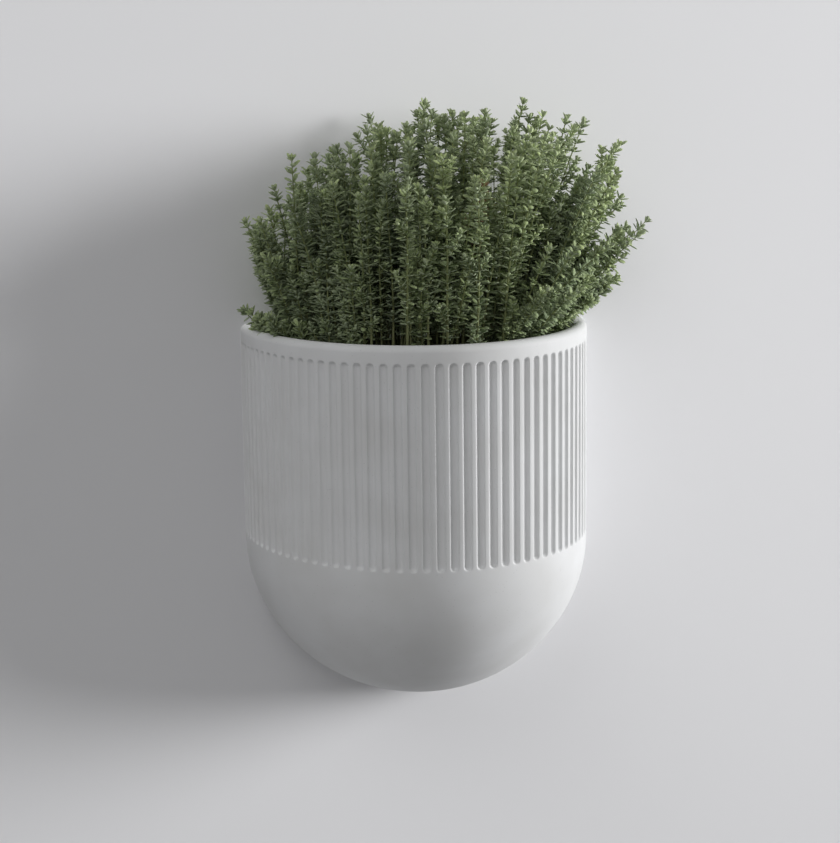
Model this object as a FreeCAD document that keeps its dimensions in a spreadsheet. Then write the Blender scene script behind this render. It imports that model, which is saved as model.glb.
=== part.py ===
import FreeCAD, Part
import math
import os

import Sketcher

# A half-round ceramic planter that hangs on a wall, with its plastic liner, soil and thyme.
#
# Frame: millimetres, +X to the right as seen from the room, +Y into the wall, +Z up.
# The origin lies on the wall plane, midway between the two keyholes' entry holes.

doc = FreeCAD.newDocument("wall_planter")

# ---------------------------------------------------------------- driving sizes

SIZES = (
    # the ceramic pot
    ("pot_half_width", 80.0, "half the pot's width along the wall"),
    ("pot_depth", 94.0, "how far the pot stands out from the wall"),
    ("pot_wall", 5.5, "ceramic wall at the front and sides"),
    ("back_wall", 6.0, "flat ceramic wall that lies on the room's wall"),
    ("dome_drop", 75.5, "depth of the quarter dome under the upright wall"),
    ("dome_wall", 5.5, "ceramic wall at the lowest point of the dome"),
    ("rim_over_entry", 22.0, "rim above the keyholes' entry holes"),
    ("top_band", 7.5, "smooth band between the rim and the flutes"),
    ("flute_height", 90.5, "length of a flute with its two round ends"),
    ("low_band", 1.5, "upright smooth band under the flutes"),
    ("lip_round", 3.2, "rounding of the rim outside"),
    ("lip_round_inside", 1.8, "rounding of the rim inside"),
    # the flutes
    ("flute_count", 46, "number of flutes from wall to wall"),
    ("flute_round", 1.9, "radius of the round that forms a flute"),
    ("flute_deep", 1.5, "depth of a flute"),
    # the keyholes and the screws that carry the pot
    ("keyhole_spacing", 80.0, "distance between the two keyholes"),
    ("entry_round", 5.0, "radius of a keyhole's entry hole"),
    ("slot_round", 2.5, "half the width of a keyhole's slot"),
    ("slot_climb", 9.0, "from the entry hole's centre up to the slot's end centre"),
    ("shank_round", 2.0, "radius of a screw's shank"),
    ("head_round", 4.0, "radius of a screw's head"),
    ("head_thick", 2.6, "thickness of a screw's head"),
    ("head_bevel", 0.9, "bevel round a screw's head"),
    ("head_gap", 0.3, "play between a screw's head and the back wall"),
    ("screw_in_wall", 36.0, "length of a screw inside the room's wall"),
    ("screw_point", 5.0, "length of a screw's point"),
    ("recess_long", 4.4, "length of the cross recess in a screw's head"),
    ("recess_wide", 0.9, "width of the cross recess"),
    ("recess_deep", 1.4, "depth of the cross recess"),
    ("rest_gap", 0.1, "play between things that rest on each other"),
    ("cut_over", 1.0, "how far a cutting shape reaches past the face it cuts"),
    # the wall plugs
    ("plug_round", 3.6, "radius of a wall plug"),
    ("plug_long", 38.0, "length of a wall plug"),
    ("collar_round", 5.2, "radius of a wall plug's collar"),
    ("collar_thick", 1.0, "thickness of a wall plug's collar"),
    ("collar_sunk", 0.5, "depth of a collar under the wall's surface"),
    ("bore_play", 0.05, "play between a screw and its plug"),
    ("fin_long", 20.0, "length of a wall plug's fins"),
    ("fin_high", 1.2, "height of a wall plug's fins"),
    ("fin_thick", 1.4, "thickness of a wall plug's fins"),
    # the liner
    ("liner_wall", 1.6, "wall of the plastic liner"),
    ("liner_floor", 2.0, "floor of the plastic liner"),
    ("liner_drop", 8.0, "the liner's edge below the pot's rim"),
    ("liner_sink", 38.0, "the liner's floor below the pot's upright wall"),
    ("liner_side_gap", 1.0, "play between the liner's edge and the pot"),
    ("liner_back_gap", 5.0, "room behind the liner for the screws' heads"),
    ("seat_gap", 0.3, "play where the liner stands in the dome"),
    ("edge_out", 1.5, "how far the liner's stiff edge stands out"),
    ("edge_thick", 2.0, "thickness of the liner's stiff edge"),
    ("rib_thick", 3.0, "thickness of the two ribs on the liner's back"),
    ("rib_long", 30.0, "length of the two ribs"),
    ("rib_spacing", 30.0, "distance between the two ribs"),
    ("rib_low", 20.0, "the ribs' lower ends above the liner's floor"),
    ("drain_round", 3.0, "radius of a drain hole"),
    ("drain_spacing", 22.0, "distance between drain holes"),
    ("drain_first", 16.0, "first row of drain holes, in front of the liner's back"),
    # what the liner holds
    ("pebble_round", 5.8, "radius of a clay drainage ball"),
    ("pebble_gap", 0.35, "play between the balls"),
    ("soil_gap", 0.2, "play between the soil and what it touches"),
    ("soil_drop", 6.0, "soil below the liner's edge"),
    ("root_round", 14.0, "radius of a root plug at the top"),
    ("root_taper", 4.0, "how much smaller a root plug's radius is at its foot"),
    ("root_long", 42.0, "depth of a root plug"),
    ("root_side_soil", 13.4, "soil beside the outer root plugs, on the line of the wall"),
    ("root_back_soil", 1.2, "soil behind the back row of root plugs"),
    ("root_front_soil", 9.4, "soil before the front row, on the pot's middle line"),
    # the thyme
    ("sprig_spacing", 9.6, "spacing of the sprigs where they leave the soil"),
    ("sprig_round", 4.2, "radius of a sprig over its leaves"),
    ("stem_round", 0.9, "radius of a sprig's bare stem"),
    ("whorl_pitch", 10.0, "spacing of the leaf tiers along a sprig"),
    ("leaf_start", 3.0, "lowest leaves above the pot's rim"),
    ("canopy_high", 100.0, "tallest sprigs above the pot's rim"),
    ("bed_margin", 5.0, "bare soil between the sprigs and the liner"),
)

sheet = doc.addObject("Spreadsheet::Sheet", "Sizes")
for row, (alias, value, meaning) in enumerate(SIZES, start=1):
    sheet.set(f"A{row}", meaning)
    sheet.set(f"B{row}", str(value))
    sheet.setAlias(f"B{row}", alias)

# Sizes that follow from the driving ones: what fits in, seats on or lines up with something.
FITS = (
    ("rim_top", "Sizes.rim_over_entry"),
    ("pot_height", "Sizes.top_band + Sizes.flute_height + Sizes.low_band"),
    ("equator", "rim_top - pot_height"),
    ("cavity_half", "Sizes.pot_half_width - Sizes.pot_wall"),
    ("cavity_depth", "Sizes.pot_depth - Sizes.pot_wall"),
    ("cavity_drop", "Sizes.dome_drop - Sizes.dome_wall"),
    ("flute_low", "equator + Sizes.low_band"),
    ("slot_end", "Sizes.slot_climb"),
    ("screw_high", "slot_end + Sizes.slot_round - Sizes.shank_round - Sizes.rest_gap"),
    ("head_under", "Sizes.back_wall + Sizes.head_gap"),
    ("head_out", "head_under + Sizes.head_thick"),
    ("liner_low", "equator - Sizes.liner_sink"),
    ("liner_top", "rim_top - Sizes.liner_drop"),
    ("liner_back", "Sizes.back_wall + Sizes.liner_back_gap"),
    ("sink_share", "sqrt(1 - (Sizes.liner_sink / cavity_drop) ^ 2)"),
    ("foot_half", "cavity_half * sink_share - Sizes.seat_gap"),
    ("foot_depth", "cavity_depth * sink_share - Sizes.seat_gap"),
    ("edge_half", "cavity_half - Sizes.liner_side_gap"),
    ("edge_depth", "cavity_depth - Sizes.liner_side_gap"),
    ("mouth_half", "edge_half - Sizes.edge_out"),
    ("mouth_depth", "edge_depth - Sizes.edge_out"),
    ("liner_high", "liner_top - liner_low"),
    ("floor_top", "liner_low + Sizes.liner_floor"),
    ("widen_half", "(mouth_half - foot_half) / liner_high"),
    ("widen_depth", "(mouth_depth - foot_depth) / liner_high"),
    ("inner_back", "liner_back + Sizes.liner_wall"),
    ("pebble_high", "floor_top + Sizes.pebble_round + Sizes.rest_gap"),
    ("soil_low", "pebble_high + Sizes.pebble_round + Sizes.soil_gap"),
    ("soil_top", "liner_top - Sizes.soil_drop"),
    ("soil_back", "inner_back + Sizes.soil_gap"),
    ("root_low", "soil_top - Sizes.root_long"),
    ("root_side", "mouth_half - Sizes.liner_wall - Sizes.root_round - Sizes.root_side_soil"),
    ("root_back_row", "soil_back + Sizes.root_round + Sizes.root_back_soil"),
    ("root_front_row", "mouth_depth - Sizes.liner_wall - Sizes.root_round - Sizes.root_front_soil"),
)

fits = doc.addObject("Spreadsheet::Sheet", "Fits")
for row, (alias, formula) in enumerate(FITS, start=1):
    fits.set(f"A{row}", alias.replace("_", " "))
    fits.setAlias(f"B{row}", alias)
    fits.set(f"B{row}", "=" + formula)
doc.recompute()


def size(alias):
    """The number in the cell with this alias, on either sheet."""
    owner = sheet if alias in {name for name, _, _ in SIZES} else fits
    return float(owner.get(alias))


# ---------------------------------------------------------------- small helpers

UP = FreeCAD.Vector(0, 0, 1)
RIGHT = FreeCAD.Vector(1, 0, 0)
QUARTER = 90.0
HALF_TURN = 180.0
FULL_TURN = 360.0
Z_TO_Y = FreeCAD.Rotation(RIGHT, -QUARTER)


def bind(obj, **formulas):
    """Tie properties of an object to the sheets. The keys x, y and z mean its position."""
    for prop, formula in formulas.items():
        path = f".Placement.Base.{prop}" if prop in ("x", "y", "z") else prop
        obj.setExpression(path, formula)
    return obj


def primitive(kind, name, **formulas):
    """A Part primitive whose sizes and position follow the sheets."""
    return bind(doc.addObject(f"Part::{kind}", name), **formulas)


def across_wall(obj):
    """Turn a primitive's own Z axis into +Y, square to the room's wall."""
    place = obj.Placement
    place.Rotation = Z_TO_Y
    obj.Placement = place
    return obj


def cut(name, base, tool):
    obj = doc.addObject("Part::Cut", name)
    obj.Base = base
    obj.Tool = tool
    return obj


def common(name, first, second):
    obj = doc.addObject("Part::Common", name)
    obj.Base = first
    obj.Tool = second
    return obj


def fuse(name, shapes, refine=False):
    obj = doc.addObject("Part::MultiFuse", name)
    obj.Shapes = shapes
    obj.Refine = refine
    return obj


def oval(name, half_width, depth, height):
    """A level ellipse about the wall plane's upright centre line."""
    curve = primitive(
        "Ellipse",
        name,
        MajorRadius=f"max({half_width}; {depth})",
        MinorRadius=f"min({half_width}; {depth})",
        z=height,
    )
    turn = f"{depth} > {half_width} ? {QUARTER} : 0"
    curve.setExpression(".Placement.Rotation.Angle", turn)
    return curve


def oval_prism(name, half_width, depth, low, high):
    """An upright solid on an elliptical plan."""
    prism = doc.addObject("Part::Extrusion", name)
    prism.Base = oval(name + "_plan", half_width, depth, low)
    prism.DirMode = "Custom"
    prism.Dir = UP
    prism.Solid = True
    return bind(prism, LengthFwd=f"({high}) - ({low})")


def oval_taper(name, low, low_half, low_depth, high, high_half, high_depth):
    """A solid that widens evenly from one level ellipse to a higher one."""
    taper = doc.addObject("Part::Loft", name)
    taper.Sections = [
        oval(name + "_foot", low_half, low_depth, low),
        oval(name + "_mouth", high_half, high_depth, high),
    ]
    taper.Solid = True
    taper.Ruled = True
    return taper


def half_dome(name, half_width, depth, drop, height):
    """The lower half of an ellipsoid, hung from the given height."""
    dome = primitive(
        "Ellipsoid",
        name,
        Radius1=drop,
        Radius2=half_width,
        Radius3=depth,
        z=height,
    )
    dome.Angle1 = -QUARTER
    dome.Angle2 = 0
    dome.Angle3 = FULL_TURN
    return dome


def room_side(name, back):
    """A block of the room in front of the plane y = -back, larger than the pot."""
    return primitive(
        "Box",
        name,
        Length="4 * Sizes.pot_half_width",
        Width="2 * Sizes.pot_depth",
        Height="4 * (Fits.pot_height + Sizes.dome_drop)",
        x="-2 * Sizes.pot_half_width",
        y=f"-2 * Sizes.pot_depth - ({back})",
        z="-2 * (Fits.pot_height + Sizes.dome_drop)",
    )


def made(name, shape):
    """A plain feature whose shape is worked out here from the sheets' numbers."""
    obj = doc.addObject("Part::Feature", name)
    obj.Shape = shape
    return obj


# ---------------------------------------------------------------- the ceramic pot


def arc_points(half_width, depth, count):
    """Evenly spaced places along a half ellipse, from the left end to the right end.

    Each place is the middle of one of `count` equal lengths of the curve.
    """
    steps = 4000
    ring = []
    for step in range(steps + 1):
        turn = math.pi * step / steps
        ring.append((-half_width * math.cos(turn), -depth * math.sin(turn)))
    lengths = [0.0]
    for (x_old, y_old), (x_new, y_new) in zip(ring, ring[1:]):
        lengths.append(lengths[-1] + math.hypot(x_new - x_old, y_new - y_old))
    places = []
    step = 0
    for index in range(count):
        target = lengths[-1] * (index + 0.5) / count
        while lengths[step] < target:
            step += 1
        places.append(ring[step])
    return places


def flute_cutters():
    """One round-ended rod for each flute, sunk into the pot's outer face by the flute's depth.

    Each rod is turned so that its seam points away from the pot.
    """
    half_width = size("pot_half_width")
    depth = size("pot_depth")
    radius = size("flute_round")
    stand_off = radius - size("flute_deep")
    low = size("flute_low") + radius
    straight = size("flute_height") - 2 * radius
    rod = Part.makeCylinder(radius, straight)
    rod = rod.fuse([Part.makeSphere(radius), Part.makeSphere(radius, UP * straight)])
    rods = []
    for x, y in arc_points(half_width, depth, round(size("flute_count"))):
        outward = FreeCAD.Vector(x / half_width**2, y / depth**2, 0).normalize()
        copy = rod.copy()
        middle = FreeCAD.Vector(x, y, low) + outward * stand_off
        copy.Placement = FreeCAD.Placement(middle, FreeCAD.Rotation(RIGHT, outward))
        rods.append(copy)
    return Part.makeCompound(rods)


def rim_edges(shape):
    """The curved edges at the rim: number, and whether each is the outer one."""
    found = []
    tolerance = 1e-3
    inside = size("cavity_depth") + size("lip_round_inside")
    for number, edge in enumerate(shape.Edges, start=1):
        box = edge.BoundBox
        level = abs(box.ZMin - size("rim_top")) < tolerance and box.ZLength < tolerance
        if level and box.YLength > size("pot_depth") / 2:
            found.append((number, -box.YMin > inside))
    return found


def keyhole(name, side):
    """An entry hole with a narrower slot above it, right through the back wall."""
    place = f"{side} * Sizes.keyhole_spacing / 2"
    through = "Sizes.back_wall + 2 * Sizes.cut_over"
    start = "-Sizes.back_wall - Sizes.cut_over"
    entry = across_wall(
        primitive(
            "Cylinder",
            name + "_entry",
            Radius="Sizes.entry_round",
            Height=through,
            x=place,
            y=start,
        )
    )
    end = across_wall(
        primitive(
            "Cylinder",
            name + "_slot_end",
            Radius="Sizes.slot_round",
            Height=through,
            x=place,
            y=start,
            z="Fits.slot_end",
        )
    )
    slot = primitive(
        "Box",
        name + "_slot",
        Length="2 * Sizes.slot_round",
        Width=through,
        Height="Fits.slot_end",
        x=f"{place} - Sizes.slot_round",
        y=start,
    )
    return fuse(name, [entry, end, slot])


def pot_shell():
    """The casting: an upright half-oval wall over a quarter dome, flat at the back."""
    outer_wall = oval_prism(
        "outer_wall", "Sizes.pot_half_width", "Sizes.pot_depth", "Fits.equator", "Fits.rim_top"
    )
    outer_dome = half_dome(
        "outer_dome", "Sizes.pot_half_width", "Sizes.pot_depth", "Sizes.dome_drop", "Fits.equator"
    )
    outside = common("outside", fuse("outer_body", [outer_wall, outer_dome]), room_side("in_room", "0"))
    inner_wall = oval_prism(
        "inner_wall",
        "Fits.cavity_half",
        "Fits.cavity_depth",
        "Fits.equator",
        "Fits.rim_top + Sizes.top_band",
    )
    inner_dome = half_dome(
        "inner_dome", "Fits.cavity_half", "Fits.cavity_depth", "Fits.cavity_drop", "Fits.equator"
    )
    hollow = common(
        "hollow",
        fuse("inner_body", [inner_wall, inner_dome]),
        room_side("before_back_wall", "Sizes.back_wall"),
    )
    casting = cut("casting", outside, hollow)
    doc.recompute()
    rounded = doc.addObject("Part::Fillet", "rounded_rim")
    rounded.Base = casting
    outer, inner = size("lip_round"), size("lip_round_inside")
    rounded.Edges = [
        (number, outer, outer) if outside_edge else (number, inner, inner)
        for number, outside_edge in rim_edges(casting.Shape)
    ]
    fluted = cut("fluted", rounded, made("flute_cutters", flute_cutters()))
    keyholes = fuse("keyholes", [keyhole("keyhole_left", -1), keyhole("keyhole_right", 1)])
    return cut("pot_shell", fluted, keyholes)


# ---------------------------------------------------------------- screws and wall plugs


def outline(body, points):
    """A closed sketch on the body's XZ plane, each corner tied to the sheets."""
    sketch = body.newObject("Sketcher::SketchObject", body.Name + "_outline")
    plane = next(part for part in body.Origin.OriginFeatures if part.Role == "XZ_Plane")
    sketch.AttachmentSupport = [(plane, "")]
    sketch.MapMode = "FlatFace"
    corners = [
        FreeCAD.Vector(value_of(across), value_of(along), 0) for across, along in points
    ]
    for start, end in zip(corners, corners[1:] + corners[:1]):
        sketch.addGeometry(Part.LineSegment(start, end), False)
    count = len(corners)
    for index in range(count):
        sketch.addConstraint(Sketcher.Constraint("Coincident", index, 2, (index + 1) % count, 1))
    for index, (across, along) in enumerate(points):
        corner = corners[index]
        ties = (("DistanceX", across, corner.x), ("DistanceY", along, corner.y))
        for kind, formula, value in ties:
            number = sketch.addConstraint(Sketcher.Constraint(kind, -1, 1, index, 1, value))
            sketch.setExpression(f"Constraints[{number}]", formula)
    return sketch


def value_of(formula):
    """What a formula over the sheets comes to now."""
    return float(doc.getObject("Fits").evalExpression(formula))


def turned_body(name, place, points):
    """A body turned about its own Z axis, which lies along +Y of the planter."""
    body = doc.addObject("PartDesign::Body", name)
    sketch = outline(body, points)
    turn = body.newObject("PartDesign::Revolution", name + "_turned")
    turn.Profile = sketch
    turn.ReferenceAxis = (sketch, ["V_Axis"])
    turn.Angle = FULL_TURN
    across_wall(body)
    return bind(body, **place)


def screw(name, side):
    """A round-head screw: bevelled head in the room, shank through the keyhole, point in the plug."""
    points = [
        ("0", "-Fits.head_out"),
        ("Sizes.head_round - Sizes.head_bevel", "-Fits.head_out"),
        ("Sizes.head_round", "-Fits.head_out + Sizes.head_bevel"),
        ("Sizes.head_round", "-Fits.head_under"),
        ("Sizes.shank_round", "-Fits.head_under"),
        ("Sizes.shank_round", "Sizes.screw_in_wall - Sizes.screw_point"),
        ("0", "Sizes.screw_in_wall"),
    ]
    body = turned_body(name, screw_place(side), points)
    arms = (("Sizes.recess_long", "Sizes.recess_wide"), ("Sizes.recess_wide", "Sizes.recess_long"))
    for index, (length, width) in enumerate(arms):
        bind(
            body.newObject("PartDesign::SubtractiveBox", f"{name}_recess_{index}"),
            Length=length,
            Width=width,
            Height="Sizes.recess_deep + Sizes.cut_over",
            x=f"-{length} / 2",
            y=f"-{width} / 2",
            z="-Fits.head_out - Sizes.cut_over",
        )
    return body


def screw_place(side):
    """Where a screw's axis meets the wall plane; side is -1 at the left, 1 at the right."""
    return {"x": f"{side} * Sizes.keyhole_spacing / 2", "z": "Fits.screw_high"}


def wall_plug(name, side):
    """A bored plastic plug with a collar just under the wall's surface and four fins."""
    end = "Sizes.collar_sunk + Sizes.plug_long"
    bore = "Sizes.shank_round + Sizes.bore_play"
    points = [
        (bore, "Sizes.collar_sunk"),
        ("Sizes.collar_round", "Sizes.collar_sunk"),
        ("Sizes.collar_round", "Sizes.collar_sunk + Sizes.collar_thick"),
        ("Sizes.plug_round", "Sizes.collar_sunk + Sizes.collar_thick"),
        ("Sizes.plug_round", end),
        (bore, end),
    ]
    body = turned_body(name, screw_place(side), points)
    reach = "Sizes.plug_round + Sizes.fin_high"
    root = "Sizes.plug_round - Sizes.collar_thick"
    for index, (turn_x, turn_y) in enumerate(((1, 0), (0, 1), (-1, 0), (0, -1))):
        fin = body.newObject("PartDesign::AdditiveBox", f"{name}_fin_{index}")
        along, thick = f"{reach} - ({root})", "Sizes.fin_thick"
        length, width = (along, thick) if turn_x else (thick, along)
        low_x = {1: root, -1: f"-({reach})", 0: "-Sizes.fin_thick / 2"}[turn_x]
        low_y = {1: root, -1: f"-({reach})", 0: "-Sizes.fin_thick / 2"}[turn_y]
        bind(
            fin,
            Length=length,
            Width=width,
            Height="Sizes.fin_long",
            x=low_x,
            y=low_y,
            z=f"{end} - Sizes.fin_long",
        )
    return body


# ---------------------------------------------------------------- the liner


def liner_half(height, inset="0"):
    """The liner's outer half width at a height, less an inset."""
    return f"Fits.foot_half + Fits.widen_half * ({height} - Fits.liner_low) - ({inset})"


def liner_depth(height, inset="0"):
    """The liner's outer depth at a height, less an inset."""
    return f"Fits.foot_depth + Fits.widen_depth * ({height} - Fits.liner_low) - ({inset})"


def inside_liner(name, low, high, inset, back):
    """A solid that follows the liner's taper between two heights, set in from its outer face."""
    taper = oval_taper(
        name + "_taper",
        low,
        liner_half(low, inset),
        liner_depth(low, inset),
        high,
        liner_half(high, inset),
        liner_depth(high, inset),
    )
    return common(name, taper, room_side(name + "_front", back))


def drain_holes():
    """Two rows of round holes through the liner's floor, five behind and three in front."""
    holes = []
    for row, reach in enumerate((2, 1)):
        for column in range(-reach, reach + 1):
            hole = primitive(
                "Cylinder",
                f"drain_{row}_{column + reach}",
                Radius="Sizes.drain_round",
                Height="Sizes.liner_floor + 2 * Sizes.cut_over",
                x=f"{column} * Sizes.drain_spacing",
                y=f"-Fits.liner_back - Sizes.drain_first - {row} * Sizes.drain_spacing",
                z="Fits.liner_low - Sizes.cut_over",
            )
            holes.append(hole)
    return fuse("drain_holes", holes)


def liner():
    """A half-round grow pot: even taper, stiff edge, two ribs on its back, drain holes."""
    wall = inside_liner("liner_outside", "Fits.liner_low", "Fits.liner_top", "0", "Fits.liner_back")
    edge = common(
        "liner_edge",
        oval_prism(
            "liner_edge_oval",
            "Fits.edge_half",
            "Fits.edge_depth",
            "Fits.liner_top - Sizes.edge_thick",
            "Fits.liner_top",
        ),
        room_side("liner_edge_front", "Fits.liner_back"),
    )
    ribs = [
        primitive(
            "Box",
            f"liner_rib_{index}",
            Length="Sizes.rib_thick",
            Width="Sizes.liner_back_gap - Sizes.seat_gap + Sizes.liner_wall / 2",
            Height="Sizes.rib_long",
            x=f"{side} * Sizes.rib_spacing / 2 - Sizes.rib_thick / 2",
            y="-Fits.liner_back - Sizes.liner_wall / 2",
            z="Fits.liner_low + Sizes.rib_low",
        )
        for index, side in enumerate((-1, 1))
    ]
    hollow = inside_liner(
        "liner_hollow",
        "Fits.floor_top",
        "(Fits.liner_top + Sizes.cut_over)",
        "Sizes.liner_wall",
        "Fits.inner_back",
    )
    outside = fuse("liner_body", [wall, edge] + ribs)
    return cut("liner", cut("liner_shell", outside, hollow), drain_holes())


# ---------------------------------------------------------------- what the liner holds


def in_half_oval(x, y, half_width, depth):
    """Whether a place in plan lies inside a half ellipse in front of the wall."""
    return (x / half_width) ** 2 + (y / depth) ** 2 < 1


def lattice(spacing, back, half_width, depth):
    """Places in plan on staggered rows that fill a half oval from its back row to its front."""
    row_gap = spacing * math.sqrt(3) / 2
    reach = math.ceil(half_width / spacing) + 1
    places = []
    row = 0
    while back + row * row_gap < depth:
        y = -back - row * row_gap
        shift = spacing / 2 * (row % 2)
        for column in range(-reach, reach + 1):
            x = column * spacing + shift
            if in_half_oval(x, y, half_width, depth):
                places.append((x, y))
        row += 1
    return places


def drainage_pebbles():
    """One layer of clay balls on the liner's floor."""
    radius = size("pebble_round")
    play = size("pebble_gap")
    inset = size("liner_wall") + radius + play
    widen = size("liner_floor")
    places = lattice(
        2 * radius + play,
        size("inner_back") + radius + play,
        size("foot_half") + size("widen_half") * widen - inset,
        size("foot_depth") + size("widen_depth") * widen - inset,
    )
    height = size("pebble_high")
    balls = [Part.makeSphere(radius, FreeCAD.Vector(x, y, height)) for x, y in places]
    return made("drainage_pebbles", Part.makeCompound(balls))


# Where each root plug stands: how many side spacings from the middle, and in which row.
ROOT_PLACES = {
    "back_left": (-1, "root_back_row"),
    "back_middle": (0, "root_back_row"),
    "back_right": (1, "root_back_row"),
    "front_left": (-0.5, "root_front_row"),
    "front_right": (0.5, "root_front_row"),
}


def root_cone(name, across, row, play):
    """A tapered root plug, or with some play the pocket that it sits in."""
    return primitive(
        "Cone",
        name,
        Radius1=f"Sizes.root_round - Sizes.root_taper + {play}",
        Radius2=f"Sizes.root_round + {play}",
        Height=f"Sizes.root_long + 2 * {play}",
        x=f"{across} * Fits.root_side",
        y=f"-Fits.{row}",
        z=f"Fits.root_low - {play}",
    )


def potting_soil():
    """The soil over the balls, with a pocket for each root plug."""
    mass = inside_liner(
        "soil_mass",
        "Fits.soil_low",
        "Fits.soil_top",
        "Sizes.liner_wall + Sizes.soil_gap",
        "Fits.soil_back",
    )
    pockets = [
        root_cone("pocket_" + where, across, row, "Sizes.soil_gap")
        for where, (across, row) in ROOT_PLACES.items()
    ]
    return cut("potting_soil", mass, fuse("root_pockets", pockets))


# ---------------------------------------------------------------- the thyme

# How the plants lean, as slopes, and how high they grow, as shares of the tallest.
LEAN_MIDDLE = 0.03
LEAN_SIDE = 0.15
LEAN_OVER_RIM = 1.05
LEAN_BEND = 4
LEAN_FORWARD = 0.22
LEFT_SHORTER = 0.45
RIGHT_SHORTER = 0.65
RIGHT_FALLS_FROM = 0.65
FALL_BEND = 1.5
FRONT_SHORTER = 0.35
UNEVEN = 0.10
UNEVEN_ACROSS = 16.32
UNEVEN_FORWARD = 22.08

# How a sprig is shaped, as shares of a leaf tier and of the sprig's radius.
FEWEST_TIERS = 2
TIP_TIERS = 3
TIER_WIDEST = 0.55
TIER_WAIST = 0.6
LEAST_TIER = 1.2

# The knot where a sprig's leaves start, and the foot of its leafy part, as shares of the stem.
KNOT = 1.35
LEAFY_FOOT = 1.1


def sprig_shape(x, y, half_width, depth, back):
    """Slopes to the right and to the front, and height over the leaves' start, of one sprig."""
    across = x / half_width
    forward = (-y - back) / (depth - back)
    right = max(0.0, across)
    left = max(0.0, -across)
    lean_x = LEAN_MIDDLE + LEAN_SIDE * across + LEAN_OVER_RIM * right**LEAN_BEND
    lean_y = -LEAN_FORWARD * forward
    fall = max(0.0, (across - RIGHT_FALLS_FROM) / (1 - RIGHT_FALLS_FROM))
    share = 1 - LEFT_SHORTER * left**FALL_BEND - RIGHT_SHORTER * fall**FALL_BEND
    share *= 1 - FRONT_SHORTER * forward**2
    wave = (x * UNEVEN_ACROSS + y * UNEVEN_FORWARD) / size("sprig_spacing")
    share *= 1 + UNEVEN * math.sin(wave)
    return lean_x, lean_y, share * size("canopy_high") - size("leaf_start")


def leafy_rod(length, radius, stem, pitch):
    """A stem with tiers of leaves as stacked double cones, upright from the origin."""
    tiers = max(FEWEST_TIERS, round(length / pitch))
    step = length / tiers
    profile = [(0.0, 0.0), (stem * LEAFY_FOOT, 0.0)]
    for tier in range(tiers):
        share = min(1.0, (tiers - tier + 0.5) / TIP_TIERS)
        profile.append((max(stem * LEAST_TIER, radius * share), (tier + TIER_WIDEST) * step))
        if tier < tiers - 1:
            profile.append((radius * share * TIER_WAIST, (tier + 1) * step))
    profile.append((0.0, length))
    corners = [FreeCAD.Vector(across, 0, along) for across, along in profile]
    face = Part.Face(Part.makePolygon(corners + corners[:1]))
    return face.revolve(FreeCAD.Vector(), UP, FULL_TURN)


def sprig(x, y, shape, thickness=1.0):
    """A bare upright stem up to the rim, then leaves along a lean over it."""
    lean_x, lean_y, rise = shape
    stem = size("stem_round")
    foot = size("soil_top") + size("rest_gap")
    start = FreeCAD.Vector(x, y, size("rim_top") + size("leaf_start"))
    along = FreeCAD.Vector(lean_x, lean_y, 1.0) * rise
    upright = rise / along.Length
    radius = size("sprig_round") * upright * thickness
    rod = leafy_rod(along.Length, radius, stem, size("whorl_pitch"))
    rod.Placement = FreeCAD.Placement(start, FreeCAD.Rotation(UP, along))
    bare = Part.makeCylinder(stem, start.z - foot + stem / 2, FreeCAD.Vector(x, y, foot))
    return bare.fuse([rod, Part.makeSphere(stem * KNOT, start)])


# The dry sprig stands nearest to this place in plan, as shares of the bed.
DRY_ACROSS = 0.33
DRY_FORWARD = 0.45
DRY_THICKNESS = 0.7


def thyme():
    """Five plants, each the sprigs nearest to its root plug, and one dry sprig."""
    inset = size("liner_wall") + size("soil_gap") + size("bed_margin")
    climb = size("soil_top") - size("liner_low")
    half_width = size("foot_half") + size("widen_half") * climb - inset
    depth = size("foot_depth") + size("widen_depth") * climb - inset
    back = size("soil_back") + size("bed_margin")
    places = lattice(size("sprig_spacing"), back, half_width, depth)
    dry_x = DRY_ACROSS * half_width
    dry_y = -back - DRY_FORWARD * (depth - back)
    dry = min(places, key=lambda place: math.dist(place, (dry_x, dry_y)))
    crowns = {}
    for where, (across, row) in ROOT_PLACES.items():
        crowns[where] = (across * size("root_side"), -size(row))
    plants = {where: [] for where in crowns}
    for place in places:
        shape = sprig_shape(*place, half_width, depth, back)
        if place == dry:
            dry_solid = sprig(*place, shape, DRY_THICKNESS)
            continue
        nearest = min(crowns, key=lambda where: math.dist(place, crowns[where]))
        plants[nearest].append(sprig(*place, shape))
    nodes = [made("thyme_" + where, Part.makeCompound(sprigs)) for where, sprigs in plants.items()]
    return nodes + [made("dry_sprig", Part.makeCompound([dry_solid]))]


# ---------------------------------------------------------------- build, check and write


def build():
    """Every sub-part of the planter, each named after its file."""
    parts = [pot_shell(), liner(), drainage_pebbles(), potting_soil()]
    for where, (across, row) in ROOT_PLACES.items():
        parts.append(root_cone("root_plug_" + where, across, row, "0"))
    parts += thyme()
    for side_name, side in (("left", -1), ("right", 1)):
        parts.append(screw("screw_" + side_name, side))
        parts.append(wall_plug("wall_plug_" + side_name, side))
    for part in parts:
        part.Label = part.Name
    doc.recompute()
    return parts


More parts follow.
